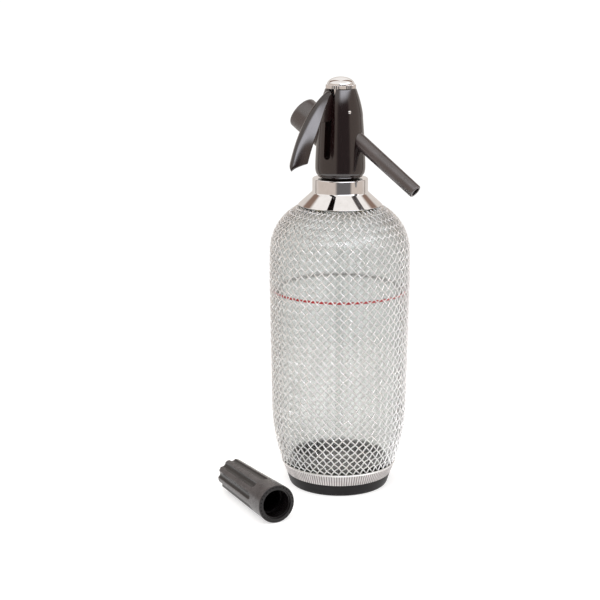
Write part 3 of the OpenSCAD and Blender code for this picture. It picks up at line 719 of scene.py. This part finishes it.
def make_band():
    """The band: its outer face swells into ribs, as the absolute sine of the angle, between plain rims."""
    z0 = BASE_H + RUN
    share = np.array([0, 0.02, 0.08, 0.14, 0.3, 0.5, 0.7, 0.86, 0.92, 0.98, 1])
    z = z0 + (BAND_TOP - z0) * share
    swell = np.clip(np.minimum(share, 1 - share) / 0.1 - 0.4, 0, 1)
    a = full_turn(BAND_RIBS * 8)
    groove = 1 - np.abs(np.sin(a * BAND_RIBS / 2))
    outer = foot_radius(0, z) - RIB_DEPTH * groove * swell
    back = z[::-1]
    radius = np.concatenate([outer, np.broadcast_to(foot_radius(BAND_T, back), outer.shape)], 1)
    height = np.concatenate([z, back])
    band = solid(about_z(radius, a, height), grid_faces(len(a), len(height)))
    dress(band, "ribbed_band", "hem_band", sharp=50)


def make_hem_wire():
    """The bright wire at the band's edge: a ring of round section."""
    z = BAND_TOP + RUN + HEM_WIRE_R
    section = arc(foot_radius(0, z) - HEM_WIRE_R / 2, z, HEM_WIRE_R, 0, 345, 23)
    dress(turned(section, ring=True, steps=240), "edge_wire", "hem_wire")


def make_weave(name, way):
    """The wires that climb one way round. Each follows the body's outline, turns by half a mesh for
    each half mesh it climbs, and waves over and under the wires of the other way: its distance
    from the middle of the weave is a cosine of the half meshes climbed."""
    line = body_outline(SLEEVE_T / 2, BAND_TOP + 2 * (HEM_WIRE_R + RUN) + 0.4, SLEEVE_END - 0.8, 80)
    length = np.concatenate([[0], np.cumsum(np.linalg.norm(np.diff(line, axis=0), axis=1))])
    rings = int(length[-1] / HALF_MESH * 3)
    s = np.linspace(0, length[-1], rings)
    radius = np.interp(s, length, line[:, 0])
    height = np.interp(s, length, line[:, 1])
    lean_r, lean_z = np.gradient(radius, s), np.gradient(height, s)
    climbed = np.pi * s / HALF_MESH
    rise = way * WEAVE_RISE * np.cos(climbed)
    middle_r = radius + rise * lean_z
    middle_z = height - rise * lean_r
    a = 2 * np.pi * np.arange(WIRES)[:, None] / WIRES + way * climbed / WIRES
    centre = about_z(middle_r, a, middle_z)
    outward = about_z(lean_z, a, -lean_r)
    along = np.gradient(centre, axis=1)
    across = np.cross(along, outward)
    across /= np.linalg.norm(across, axis=-1, keepdims=True)
    outward = np.cross(across, along)
    outward /= np.linalg.norm(outward, axis=-1, keepdims=True)
    sides = 6
    b = full_turn(sides)
    points = centre[:, :, None] + WIRE_R * (
        np.cos(b) * outward[:, :, None] + np.sin(b) * across[:, :, None])
    tube = grid_faces(rings, sides, False, True)[:, ::-1]
    foot = np.arange(sides)
    head = foot[::-1] + (rings - 1) * sides
    faces = []
    for start in range(0, WIRES * rings * sides, rings * sides):
        faces += (tube + start).tolist() + [(foot + start).tolist(), (head + start).tolist()]
    dress(solid(points, faces), name, "mesh_sleeve", sharp=80)


# ---------------------------------------------------------------- bottle
def glass_outline():
    """The glass from the hollow under its floor, up the outside to the lip, and down the inside."""
    foot_r = foot_radius(GLASS_IN, GLASS_FOOT_Z)
    shoulder_end = 78
    fillet = 4
    fillet_z = SHOULDER_Z + (SHOULDER_R - GLASS_IN) * math.sin(math.radians(shoulder_end)) + fillet
    inner_end = 70
    inner_fillet = 5
    inner_r = SHOULDER_R - INSIDE_IN
    inner_fillet_z = SHOULDER_Z + inner_r * math.sin(math.radians(inner_end)) + inner_fillet
    round_r = 6
    floor_r = foot_radius(INSIDE_IN, INSIDE_Z)
    across = np.linspace(0, 90, 16)
    punt = np.column_stack([(foot_r - 8) * across / 90, GLASS_FOOT_Z + PUNT_H * np.cos(np.radians(across))])
    inside = np.concatenate([
        [(0, INSIDE_Z + 1.2), (floor_r / 2, INSIDE_Z + 0.6), (floor_r - round_r, INSIDE_Z)],
        arc(floor_r - round_r + 0.3, INSIDE_Z + round_r, round_r, 300, 345, 8),
        body_outline(INSIDE_IN, INSIDE_Z + round_r + 1, inner_end, 40),
        arc(NECK_BORE_R + inner_fillet, inner_fillet_z, inner_fillet, 250, 180, 10),
        eased([(NECK_BORE_R, LIP_Z - 2), (NECK_BORE_R, LIP_Z, 1.2), (NECK_BORE_R + 3, LIP_Z)])])
    return np.concatenate([
        punt, [(foot_r - 2.5, GLASS_FOOT_Z)],
        body_outline(GLASS_IN, GLASS_FOOT_Z + 1.5, shoulder_end, 40),
        arc(NECK_R + fillet, fillet_z, fillet, 258, 180, 10),
        eased([(NECK_R, BEAD_Z - 2), (NECK_R, BEAD_Z - BEAD_SLOPE, 0.5), (BEAD_R, BEAD_Z, 1),
               (BEAD_R, LIP_Z, 1.6), (BEAD_R - 3, LIP_Z)]),
        inside[::-1]])


def make_bottle():
    """The glass, and its fill line: a ring a tenth of a millimetre proud of it, grey on its inward face."""
    dress(turned(glass_outline(), steps=FINE_STEPS), "bottle", "glass_bottle", sharp=50)
    flank = body_outline(GLASS_IN, SKIRT_Z / 2, 5)
    z = FILL_LINE_Z + FILL_LINE_H / 2 * np.array([-1, 1])
    r = np.interp(z, flank[:, 1], flank[:, 0])
    sunk, proud = 0.02, 0.1
    band = [(r[0] - sunk, z[0]), (r[0] + proud, z[0]), (r[1] + proud, z[1]), (r[1] - sunk, z[1])]
    line = dress(turned(band, ring=True, steps=FINE_STEPS), "fill_line", "glass_bottle", fill_print())
    line.data.materials.append(print_back().material)
    for face in line.data.polygons:
        face.material_index = int(face.normal.dot(face.center) < 0)


def make_neck():
    """The threaded ring on the glass bead, and the chromed collar over it."""
    ring_r = COLLAR_R - COLLAR_T - SEAT
    ring_bore_r = SHANK_R + SCREW_GAP
    foot_z = BEAD_Z - BEAD_SLOPE - 1.3 - SEAT
    top = COLLAR_TOP - COLLAR_T - SEAT
    ring = [(NECK_R + SEAT, foot_z), (ring_r, foot_z), (ring_r, top), (ring_bore_r, top),
            (ring_bore_r, LIP_Z + SEAT), (BEAD_R + SEAT, LIP_Z + SEAT),
            (BEAD_R + SEAT, BEAD_Z - BEAD_SLOPE), (NECK_R + SEAT, BEAD_Z - BEAD_SLOPE - SEAT)]
    dress(threaded(ring, LIP_Z + SEAT, top, 0.7, ring=True), "bead_ring", "neck_ring", sharp=40)
    rim_r = SHANK_R + 0.7
    inner_r = COLLAR_R - COLLAR_T
    foot = 0.8
    outline = np.concatenate([
        eased([(SKIRT_R - COLLAR_T, SKIRT_Z + 0.4), (SKIRT_R - COLLAR_T, SKIRT_Z, 0.2),
               (SKIRT_R, SKIRT_Z, 0.5), (COLLAR_R + foot * 1.2, COLLAR_Z - foot)]),
        bezier((COLLAR_R + foot * 1.2, COLLAR_Z - foot), (COLLAR_R, COLLAR_Z + 0.2),
               (COLLAR_R, COLLAR_Z + foot * 1.5), 8)[1:],
        arc(COLLAR_R - 1, COLLAR_TOP - 1, 1, 0, 90, 8),
        eased([(rim_r + 2, COLLAR_TOP), (rim_r, COLLAR_TOP, 0.3), (rim_r, COLLAR_TOP - COLLAR_T, 0.3),
               (inner_r, COLLAR_TOP - COLLAR_T, 0.3), (inner_r, COLLAR_Z - 0.3)])])
    dress(turned(outline, ring=True, steps=FINE_STEPS), "collar", "neck_collar", sharp=40)


# ---------------------------------------------------------------- head
def make_housing():
    """The black housing: a turned shell and the port's boss, with every bore and slot cut in it."""
    foot = arc(0, 0, 1, -90, 0, 12) * (HEAD_R - HEAD_FOOT_R - 0.5, 5.5)
    outline = np.concatenate([
        eased([(0, HEAD_Z), (HEAD_FOOT_R + 0.2, HEAD_Z, 0.6), (HEAD_FOOT_R + 0.5, HEAD_Z + 1.5)]),
        foot[1:] + (HEAD_FOOT_R + 0.5, HEAD_Z + 7),
        bezier((HEAD_R, HEAD_Z + 9), (HEAD_R - 0.3, HEAD_Z + 22), (HEAD_SIDE_R, HEAD_Z + 44), 24),
        bezier((HEAD_SIDE_R - 0.05, HEAD_Z + 46), (HEAD_SIDE_R - 0.9, HEAD_Z + 54),
               (HEAD_TOP_R, HEAD_TOP - 0.4), 18),
        arc(HEAD_TOP_R - 0.5, HEAD_TOP - 0.5, 0.5, 20, 90, 4), [(0, HEAD_TOP)]])
    boss = eased([(0, 6), (BARREL_R + 1.9, 6), (BARREL_R + 1.6, BOSS_END, 0.5), (0, BOSS_END)])
    housing = join(turned(outline, steps=FINE_STEPS), turned(boss, ON_PORT))
    core_r = CORE_R + SEAT
    sleeve_r = core_r + 1.6
    hollow_top = HEAD_Z + 12
    hollow = [(sleeve_r, HEAD_Z - 1), (HEAD_FOOT_R - 2, HEAD_Z - 1), (HEAD_R - 2.6, HEAD_Z + 8),
              (HEAD_R - 3, hollow_top), (sleeve_r, hollow_top)]
    slot_out = HEAD_R + 2
    slot_z = PIN_Z + SLOT_FLOOR
    upper = prism([(0, slot_z), (slot_out, slot_z), (slot_out, HEAD_TOP + 1), (0, HEAD_TOP + 1)],
                  SLOT_HALF, 0, IN_SLOT)
    # Below, the slot is shallower and its foot is round
    slot_back = CORE_R + 0.5
    round_z = PIN_Z + SLOT_END + SLOT_HALF
    lower_top = round_z + 10 * SLOT_HALF
    lower = prism([(slot_back, round_z), (slot_out, round_z), (slot_out, lower_top),
                   (slot_back, lower_top)], SLOT_HALF, 0, IN_SLOT)
    dress(cut(
        housing,
        rod(core_r, HEAD_Z - 1, CORE_TOP + SEAT, steps=96),
        turned(hollow, ring=True),
        rod(5.2, CORE_TOP - 1, HEAD_TOP - CAP_SHANK_H),
        rod(CAP_SHANK_R + SCREW_GAP, HEAD_TOP - CAP_SHANK_H - SEAT, HEAD_TOP + 1),
        upper, lower,
        rod(SLOT_HALF, slot_back, 2 * HEAD_R, axis_frame((0, 0, round_z), (90, 0, 0))),
        rod(PIN_R + RUN, -HEAD_R, HEAD_R, ON_PIN),
        rod(SPOUT_ROOT_R + SCREW_GAP, -3.5, 20, ON_SPOUT),
        rod(SPIGOT_R + SCREW_GAP, -12, -3, ON_SPOUT),
        rod(SPIGOT_R + SCREW_GAP, 9, BOSS_END, ON_PORT),
        rod(BARREL_R + SCREW_GAP, BARREL_START - RUN, BOSS_END + 1, ON_PORT),
        rod(PORT_CAP_R + SLOT_GAP, BOSS_END, BOSS_END + 30, ON_PORT, steps=STEPS)),
        "housing", "head_shell")


def make_dome():
    """The chromed cap: a knurled ring, whose radius is a triangle wave of the angle, under a dome."""
    ring_top = CAP_Z + CAP_RING_H
    dome_r = CAP_RING_R - 0.9
    dome = arc(0, 0, 1, 0, 90, 20) * (dome_r, DOME_H) + (0, ring_top)
    outline = np.concatenate([
        [(0, CAP_Z - CAP_SHANK_H)],
        eased([(CAP_SHANK_R - 0.6, CAP_Z - CAP_SHANK_H), (CAP_SHANK_R, CAP_Z - CAP_SHANK_H, 0.5),
               (CAP_SHANK_R, CAP_Z + 0.01)]),
        eased([(CAP_RING_R - 0.8, CAP_Z), (CAP_RING_R, CAP_Z, 0.4), (CAP_RING_R, ring_top, 0.4),
               (dome_r + 0.05, ring_top)]), dome])
    a = full_turn(KNURLS * 8)
    depth = KNURL_DEPTH * np.clip((outline[:, 0] - dome_r) / (CAP_RING_R - dome_r), 0, 1)
    depth[outline[:, 1] > ring_top] = 0
    radius = outline[:, 0] - depth * np.abs((a * KNURLS / np.pi) % 2 - 1)
    cap = solid(about_z(radius, a, outline[:, 1]), grid_faces(len(a), len(outline), True, False))
    dress(cut(cap, rod(5.6, CAP_Z - CAP_SHANK_H - 1, ring_top)), "dome", "dome_cap", sharp=38)


def make_spring():
    """The valve's spring under the dome: a round wire on a helix."""
    sides = 12
    rings = SPRING_TURNS * 24 + 1
    start = PIN_Z + YOKE_H + SEAT
    end = CAP_Z + CAP_RING_H - SEAT
    share = np.linspace(0, 1, rings)[:, None]
    b = full_turn(sides)[:, 0]
    z = start + SPRING_WIRE_R * (1 + np.sin(b)) + (end - start - 2 * SPRING_WIRE_R) * share
    points = about_z(SPRING_R + SPRING_WIRE_R * np.cos(b), 2 * np.pi * SPRING_TURNS * share, z)
    faces = grid_faces(rings, sides, False, True).tolist()
    faces += [list(range(sides)), list(range((rings - 1) * sides, rings * sides))]
    spring = dress(solid(points, faces), "spring", "valve_spring")
    1 - VALVE_LIFT / (end - start)
    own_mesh(spring)


def under_ridge(u, sink):
    """A point of the lever's ridge, a Bezier curve in (out, up) from the pin, moved inwards by sink."""
    p0, p1, p2 = (np.array(p, float) for p in RIDGE)
    u = np.asarray(u, float)[..., None]
    slope = (1 - u) * (p1 - p0) + u * (p2 - p1)
    inward = np.stack([slope[..., 1], -slope[..., 0]], -1) / np.linalg.norm(slope, axis=-1)[..., None]
    ridge = (1 - u) ** 2 * p0 + 2 * u * (1 - u) * p1 + u ** 2 * p2
    return ridge + np.asarray(sink)[..., None] * inward


def blade_face(s, t, side):
    """Points (across, out, up) of the blade: s down the ridge, t across it, side 0 outside and 1 inside.
    The section is a V whose corner is a hyperbola's, so both faces fall away smoothly from the ridge.
    It widens over four fifths of the ridge and deepens over three fifths, as a quarter sine."""
    fold = (np.hypot(RIDGE_ROUND, t) - RIDGE_ROUND) / (math.hypot(RIDGE_ROUND, 1) - RIDGE_ROUND)
    half = WEB_W / 2 + (BLADE_HALF_W - WEB_W / 2) * np.sin(np.pi / 2 * np.minimum(1, s / 0.8))
    depth = 1 + (BLADE_DEPTH - 1) * np.sin(np.pi / 2 * np.minimum(1, s / 0.6))
    sink = side * RIDGE_T + (depth - side * RIDGE_T) * fold
    place = under_ridge(s * (1 - TIP_CUT * np.abs(t)), sink)
    return np.concatenate([((half - side * BLADE_T) * t)[..., None], place], -1)


def blade_points(rows, cols):
    """The blade's closed surface. A cubic curve joins its two faces at each flank, and the thickness
    closes to nothing at both ends along a quarter circle."""
    closing = np.sin(np.radians(np.linspace(0, 90, 6)))
    reach = 0.014
    s = np.concatenate([reach * (1 - closing[::-1]), np.linspace(reach, 1 - reach, rows)[1:-1],
                        1 - reach * (1 - closing)])[:, None]
    turn_in = 0.94
    t = np.linspace(-turn_in, turn_in, cols)
    c = np.linspace(0, 1, 8)[1:-1, None]
    loop = [blade_face(s, t, 0), None, blade_face(s, t[::-1], 1), None]
    for i, way in ((1, 1), (3, -1)):
        outer, outer_edge = blade_face(s, way * turn_in, 0), blade_face(s, way * 1.0, 0)
        inner, inner_edge = blade_face(s, way * turn_in, 1), blade_face(s, way * 1.0, 1)
        rim = (1 - c) ** 3 * outer + 3 * (1 - c) ** 2 * c * outer_edge
        rim = rim + 3 * (1 - c) * c ** 2 * inner_edge + c ** 3 * inner
        loop[i] = rim if way > 0 else rim[:, ::-1]
    points = np.concatenate(loop, 1)
    width = points.shape[1]
    across = points[:, (2 * cols + len(c) - 1 - np.arange(width)) % width]
    ends = np.clip(np.minimum(s, 1 - s) / reach, 0, 1)
    full = np.sqrt(1 - (1 - ends) ** 2)[..., None]
    points = (points + across) / 2 + full * (points - across) / 2
    return points * (1, -1, 1) + (0, -PIN_OUT, PIN_Z)


def make_lever():
    """The blade, and the web that runs from it to the pin and on to the nose in the valve's yoke."""
    points = blade_points(60, 41)
    blade = solid(points, grid_faces(points.shape[0], points.shape[1], False, True))
    web = np.concatenate([
        [(-1, 3.7), (1.5, 3.5)], under_ridge(np.linspace(0, 0.4, 12), np.full(12, RIDGE_T - 0.2)),
        eased([(28, -2), (28.5, -6, 1), (26.5, -6.6, 1), (12, -6.2, 4), (4, -5, 3), (1, -3.8)])[1:]])
    boss = arc(0, 0, BOSS_R, 0, 352.5, 47)
    arm = [(0, -1.5), (0, 1.5), (-PIN_OUT, 1.5), (-PIN_OUT, -1.5)]
    nose = arc(-PIN_OUT, 0, NOSE_R, 0, 352.5, 47)
    half = WEB_W / 2
    lever = join(blade, prism(web[::-1], half, 0.3, FROM_PIN), prism(boss, half, 0.2, FROM_PIN),
                 prism(arm, half, 0.2, FROM_PIN), prism(nose, half, 0.2, FROM_PIN))
    dress(cut(lever, rod(PIN_R + RUN, -WEB_W, WEB_W, ON_PIN)), "lever_blade", "lever")
    pin = eased([(0, -PIN_HALF - 0.5), (PIN_R, -PIN_HALF - 0.3, 0.6), (PIN_R, PIN_HALF + 0.5, 0.7),
                 (0, PIN_HALF + 0.8)], 8)
    dress(turned(pin, ON_PIN, steps=48), "pin", "lever_pin")


def make_spout():
    """The spout: a spigot in the head, a slightly tapered tube and a rounded lip."""
    lip = 0.7
    root = -3.4
    outline = np.concatenate([
        [(0, -9.8)], eased([(SPIGOT_R - 0.3, -9.8), (SPIGOT_R, -9.5, 0.2), (SPIGOT_R, root)]),
        [(SPOUT_ROOT_R, root), (SPOUT_ROOT_R, 0)],
        arc(SPOUT_TIP_R - lip, SPOUT_LEN - lip, lip, 0, 90, 8), [(0, SPOUT_LEN)]])
    mouth = eased([(0, 2), (SPOUT_BORE_R, 2), (SPOUT_BORE_R, SPOUT_LEN, 0.35),
                   (SPOUT_BORE_R + 0.5, SPOUT_LEN + 0.4), (0, SPOUT_LEN + 0.4)])
    tube = cut(turned(outline, ON_SPOUT), turned(mouth, ON_SPOUT), rod(2.8, -11, 3, ON_SPOUT))
    dress(tube, "spout_tube", "spout")


def make_gas_port():
    """The threaded barrel, with the charger's seat and the gas passage cut in it, and its cap."""
    spigot_start = 11.2
    edge = 1
    top = eased([(BARREL_R, BARREL_END - edge), (BARREL_R - edge, BARREL_END, 0.2), (0, BARREL_END)])
    outline = np.concatenate([
        [(0, spigot_start), (SPIGOT_R, spigot_start), (SPIGOT_R, BARREL_START),
         (BARREL_R, BARREL_START), (BARREL_R, BARREL_END - edge)], top])
    barrel = threaded(outline, BARREL_START, BARREL_END - edge, -0.6, ON_PORT)
    barrel = cut(barrel, rod(GAS_PASSAGE_R, spigot_start - 1.2, BARREL_END, ON_PORT),
                 rod(CHARGER_NECK_R, BARREL_END - CHARGER_SEAT_DEPTH, BARREL_END + 1, ON_PORT))
    dress(barrel, "port_barrel", "port_nipple", sharp=40)
    round_r = 2.2
    outline = np.concatenate([
        eased([(0, PORT_CAP_START), (PORT_CAP_R, PORT_CAP_START, 0.5), (PORT_CAP_R, PORT_CAP_END - 9)]),
        arc(PORT_CAP_R - round_r, PORT_CAP_END - round_r - 0.6, round_r, 0, 78, 12),
        bezier((PORT_CAP_R - 2.4, PORT_CAP_END - 0.5), (PORT_CAP_R / 2, PORT_CAP_END),
               (0, PORT_CAP_END), 8)])
    bore = rod(BARREL_R + SCREW_GAP, PORT_CAP_START - 1, BARREL_END + 0.4, ON_PORT, steps=96)
    dress(cut(turned(outline, ON_PORT), bore), "gas_cap", "port_cap")


# ---------------------------------------------------------------- charger holder
def grip_radius(a, u):
    """The holder's outer radius at angle a and distance u from its closed end: a cone, cut by round
    grooves whose ends close as balls, with the edges of each groove eased."""
    cone = HOLDER_END_R + (HOLDER_MOUTH_R - HOLDER_END_R) * u / HOLDER_LEN
    centre = cone + GROOVE_R - GROOVE_DEPTH
    pitch = 2 * np.pi / GROOVES
    off = (a / pitch) % 1 * pitch - pitch / 2
    over = np.maximum(u - GROOVE_LEN, 0)
    reach = np.maximum(GROOVE_R ** 2 - over ** 2 - (centre * np.sin(off)) ** 2, 0)
    inside = (GROOVE_R ** 2 - over ** 2 > (centre * np.sin(off)) ** 2) & (np.cos(off) > 0)
    groove = np.where(inside, centre * np.cos(off) - np.sqrt(reach), cone + 1)
    ease = 0.35
    blend = np.clip(0.5 + (cone - groove) / (2 * ease), 0, 1)
    return cone + (groove - cone) * blend - ease * blend * (1 - blend)


def make_holder():
    """The holder: a grooved grip, a plain collar at its mouth with a ring of notches, and its bore."""
    edge = 1.6
    end = arc(HOLDER_END_R - edge, edge, edge, 270, 360, 8)
    rim = arc(-MOUTH_RIM, HOLDER_LEN - MOUTH_RIM, MOUTH_RIM, 0, 90, 6)
    u = np.concatenate([end[:, 1], np.linspace(edge, GROOVE_LEN, 40)[1:],
                        GROOVE_LEN + np.linspace(0, GROOVE_R + 0.4, 12)[1:],
                        np.linspace(GROOVE_LEN + 4.5, HOLDER_LEN - 0.9, 6), rim[:, 1]])
    inset = np.zeros(len(u))
    inset[:len(end)] = HOLDER_END_R - end[:, 0]
    inset[-len(rim):] = -rim[:, 0]
    a = full_turn(GROOVES * 36)
    radius = np.pad(grip_radius(a, u) - inset, ((0, 0), (1, 1)))
    height = np.concatenate([[0], u, [HOLDER_LEN]])
    body = solid(about_z(radius, a, height), grid_faces(len(a), len(height), True, False), ON_HOLDER)
    seat_r = CHARGER_BORE_R + THREAD_RING_T
    ring_start = HOLDER_LEN - THREAD_RING_LEN
    bore = eased([(0, 4), (CHARGER_BORE_R, 4, 2), (CHARGER_BORE_R, ring_start), (seat_r, ring_start),
                  (seat_r, HOLDER_LEN, 0.2), (seat_r + 0.3, HOLDER_LEN + 0.5), (0, HOLDER_LEN + 0.5)])
    cut(body, turned(bore, ON_HOLDER))
    notch = eased([(0, -0.7), (0.5, -0.7, 0.3), (0.5, 0.5), (0, 0.5)])
    middle_r = (seat_r + HOLDER_MOUTH_R) / 2 + 0.1
    notches = []
    for i in range(MOUTH_NOTCHES):
        t = 2 * math.pi * i / MOUTH_NOTCHES
        spot = Matrix.Translation((middle_r * math.cos(t), middle_r * math.sin(t), HOLDER_LEN))
        notches.append(turned(notch, ON_HOLDER @ spot, steps=10))
    dress(cut(body, *notches), "holder_body", "charger_holder")
    outer = seat_r - RUN
    inner = BARREL_R + SCREW_GAP
    z0 = ring_start + RUN
    z1 = HOLDER_LEN - 1.2
    ring = threaded([(inner, z0), (outer, z0), (outer, z1), (inner, z1)], z0, z1, 0.5, ON_HOLDER, ring=True)
    dress(ring, "thread_ring", "holder_thread", sharp=40)


make_base()
make_band()
make_hem_wire()
make_weave("weave_right", 1)
make_weave("weave_left", -1)
make_bottle()
make_neck()
make_housing()
make_dome()
make_spring()
make_lever()
make_spout()
make_gas_port()
make_holder()

# Solids whose shape is right keep it, and take the finish of their slot
for node, shape in frame["nodes"].items():
    shape.data.materials.clear()
    shape.data.materials.append(FINISHES[SLOT_OF[node]].material)


# ---------------------------------------------------------------- studio
CAMERA_TURN = math.radians(34)
CAMERA_PITCH = math.radians(13.4)
CAMERA_BACK = 1110
CAMERA_LEFT = 30.3
CAMERA_HEIGHT = 410
LENS = 89.1

# Colours of the room
WARM_WALL = (0.64, 0.55, 0.49)
BACK_WALL = (0.74, 0.68, 0.63)
WALL_CORNER = (0.26, 0.2, 0.17)
DOORWAY = (0.15, 0.14, 0.14)
CEILING = (1.0, 0.95, 0.91)
BROWN_CORNER = (0.27, 0.18, 0.14)
WINDOW = (4.3, 4.3, 4.6)

# Where they lie: start, end and softness, in degrees from the camera, or as the sine of the height
WALL_CORNER_AT = (118, 124, 2)
DOORWAY_AT = (-18, 44, 7)
BROWN_CORNER_AT = (122, 148, 5)
WINDOW_AT = (-6, 84, 11)
WINDOW_HIGH = (0.48, 0.68, 0.06)

# In metres: the mirrored floor's radius, the backdrop's radius and height, and the siphon's middle
FLOOR_R = 0.42
BACKDROP_R = 14
BACKDROP_H = 12
MIDDLE_HEIGHT = 0.16


def make_camera():
    """The photograph's view: a long lens, a little above the siphon, turned from the lever's side."""
    data = bpy.data.cameras.new("view")
    data.lens = LENS
    data.sensor_width = 36
    data.clip_start = 0.05
    camera = bpy.data.objects.new("view", data)
    s, c = math.sin(CAMERA_TURN), math.cos(CAMERA_TURN)
    camera.location = (MM * (CAMERA_BACK * s - CAMERA_LEFT * c), -MM * (CAMERA_BACK * c + CAMERA_LEFT * s),
                       MM * CAMERA_HEIGHT)
    camera.rotation_euler = (math.pi / 2 - CAMERA_PITCH, 0, CAMERA_TURN)
    bpy.context.scene.collection.objects.link(camera)
    bpy.context.scene.camera = camera


def soft_light(name, turn, rise, distance, size, power):
    """A soft box that looks at the siphon's middle, from a turn about it and a rise above it in
    degrees and a distance in metres. Polished parts mirror the room alone, and not the box."""
    data = bpy.data.lights.new(name, "AREA")
    data.shape = "RECTANGLE"
    data.size, data.size_y = size
    data.energy = power
    light = bpy.data.objects.new(name, data)
    t, e = math.radians(turn), math.radians(rise)
    light.location = (distance * math.sin(t) * math.cos(e), -distance * math.cos(t) * math.cos(e),
                      MIDDLE_HEIGHT + distance * math.sin(e))
    light.rotation_euler = (math.pi / 2 - e, 0, t)
    light.visible_glossy = False
    bpy.context.scene.collection.objects.link(light)


def make_surroundings():
    """The room round the siphon, by direction: warm grey walls, a dark doorway beside the camera, a
    pale ceiling with brown corners, and a wide window high on the right that gives the highlights.
    Turn is counted in degrees from the camera towards its right."""
    world = bpy.data.worlds.new("room")
    bpy.context.scene.world = world
    world.use_nodes = True
    room = Nodes(world.node_tree)
    way = room.node("TexCoord", out="Generated")
    x, y, z = (room.node("SeparateXYZ", None, {0: way}, out=axis) for axis in range(3))
    s, c = math.sin(CAMERA_TURN), math.cos(CAMERA_TURN)
    ahead, side = x * s - y * c, x * c + y * s
    turn = side.math("ARCTAN2", side, ahead) * (180 / math.pi)
    off = turn.math("ABSOLUTE", turn)
    wall = room.mix(off.step(95, 125), WARM_WALL, BACK_WALL)
    wall = room.mix(off.within(*WALL_CORNER_AT), wall, WALL_CORNER)
    wall = room.mix(turn.within(*DOORWAY_AT), wall, DOORWAY)
    ceiling = room.mix(off.within(*BROWN_CORNER_AT), CEILING, BROWN_CORNER)
    colour = room.mix(z.step(0.38, 0.5), wall, ceiling)
    window = turn.within(*WINDOW_AT) * z.within(*WINDOW_HIGH)
    colour = room.mix(window, colour, WINDOW)
    world.node_tree.links.new(colour.socket, world.node_tree.nodes["Background"].inputs["Color"])


def make_floor(name, rims, glow, paper):
    """A white surface between two rims of (radius, height) in metres, a fifth of a millimetre down,
    that glows a little by itself. An inner rim well within the floor is filled, so it makes a disc."""
    sides = 96
    points = [about_z(radius, full_turn(sides)[:, 0], height - 0.0002) for radius, height in rims]
    faces = grid_faces(2, sides, False, True).tolist()
    if rims[0][0] < FLOOR_R:
        faces.append(list(range(sides)))
    mesh = bpy.data.meshes.new(name)
    mesh.from_pydata(np.concatenate(points), [], faces)
    floor = bpy.data.objects.new(name, mesh)
    bpy.context.scene.collection.objects.link(floor)
    white = Finish(name, (paper, paper, paper), Roughness=0.9, Specular_IOR_Level=0.0,
                   Emission_Color=(1, 1, 1, 1), Emission_Strength=glow)
    mesh.materials.append(white.material)
    return floor


def make_studio():
    """A white floor in a bright room, with soft boxes above and to the sides."""
    make_surroundings()
    make_floor("floor", ((0.1, 0), (FLOOR_R, 0)), 0.6, 0.55)
    # Further out the floor is only white paper: the chrome mirrors the room there
    make_floor("far_floor", ((FLOOR_R, 0), (BACKDROP_R, 0)), 1.05, 0.0).visible_glossy = False
    # The paper goes on up behind, as a plain white backdrop
    backdrop = make_floor("backdrop", ((BACKDROP_R, 0), (BACKDROP_R, BACKDROP_H)), 1.05, 0.0)
    backdrop.visible_glossy = backdrop.visible_transmission = backdrop.visible_diffuse = False
    soft_light("key", 10, 55, 1.6, (1.0, 1.0), 8)
    soft_light("fill", 110, 35, 1.8, (1.0, 1.4), 6)
    soft_light("rim", -100, 40, 1.8, (0.8, 1.4), 6)
    bpy.context.scene.view_settings.view_transform = "Standard"


make_camera()
make_studio()
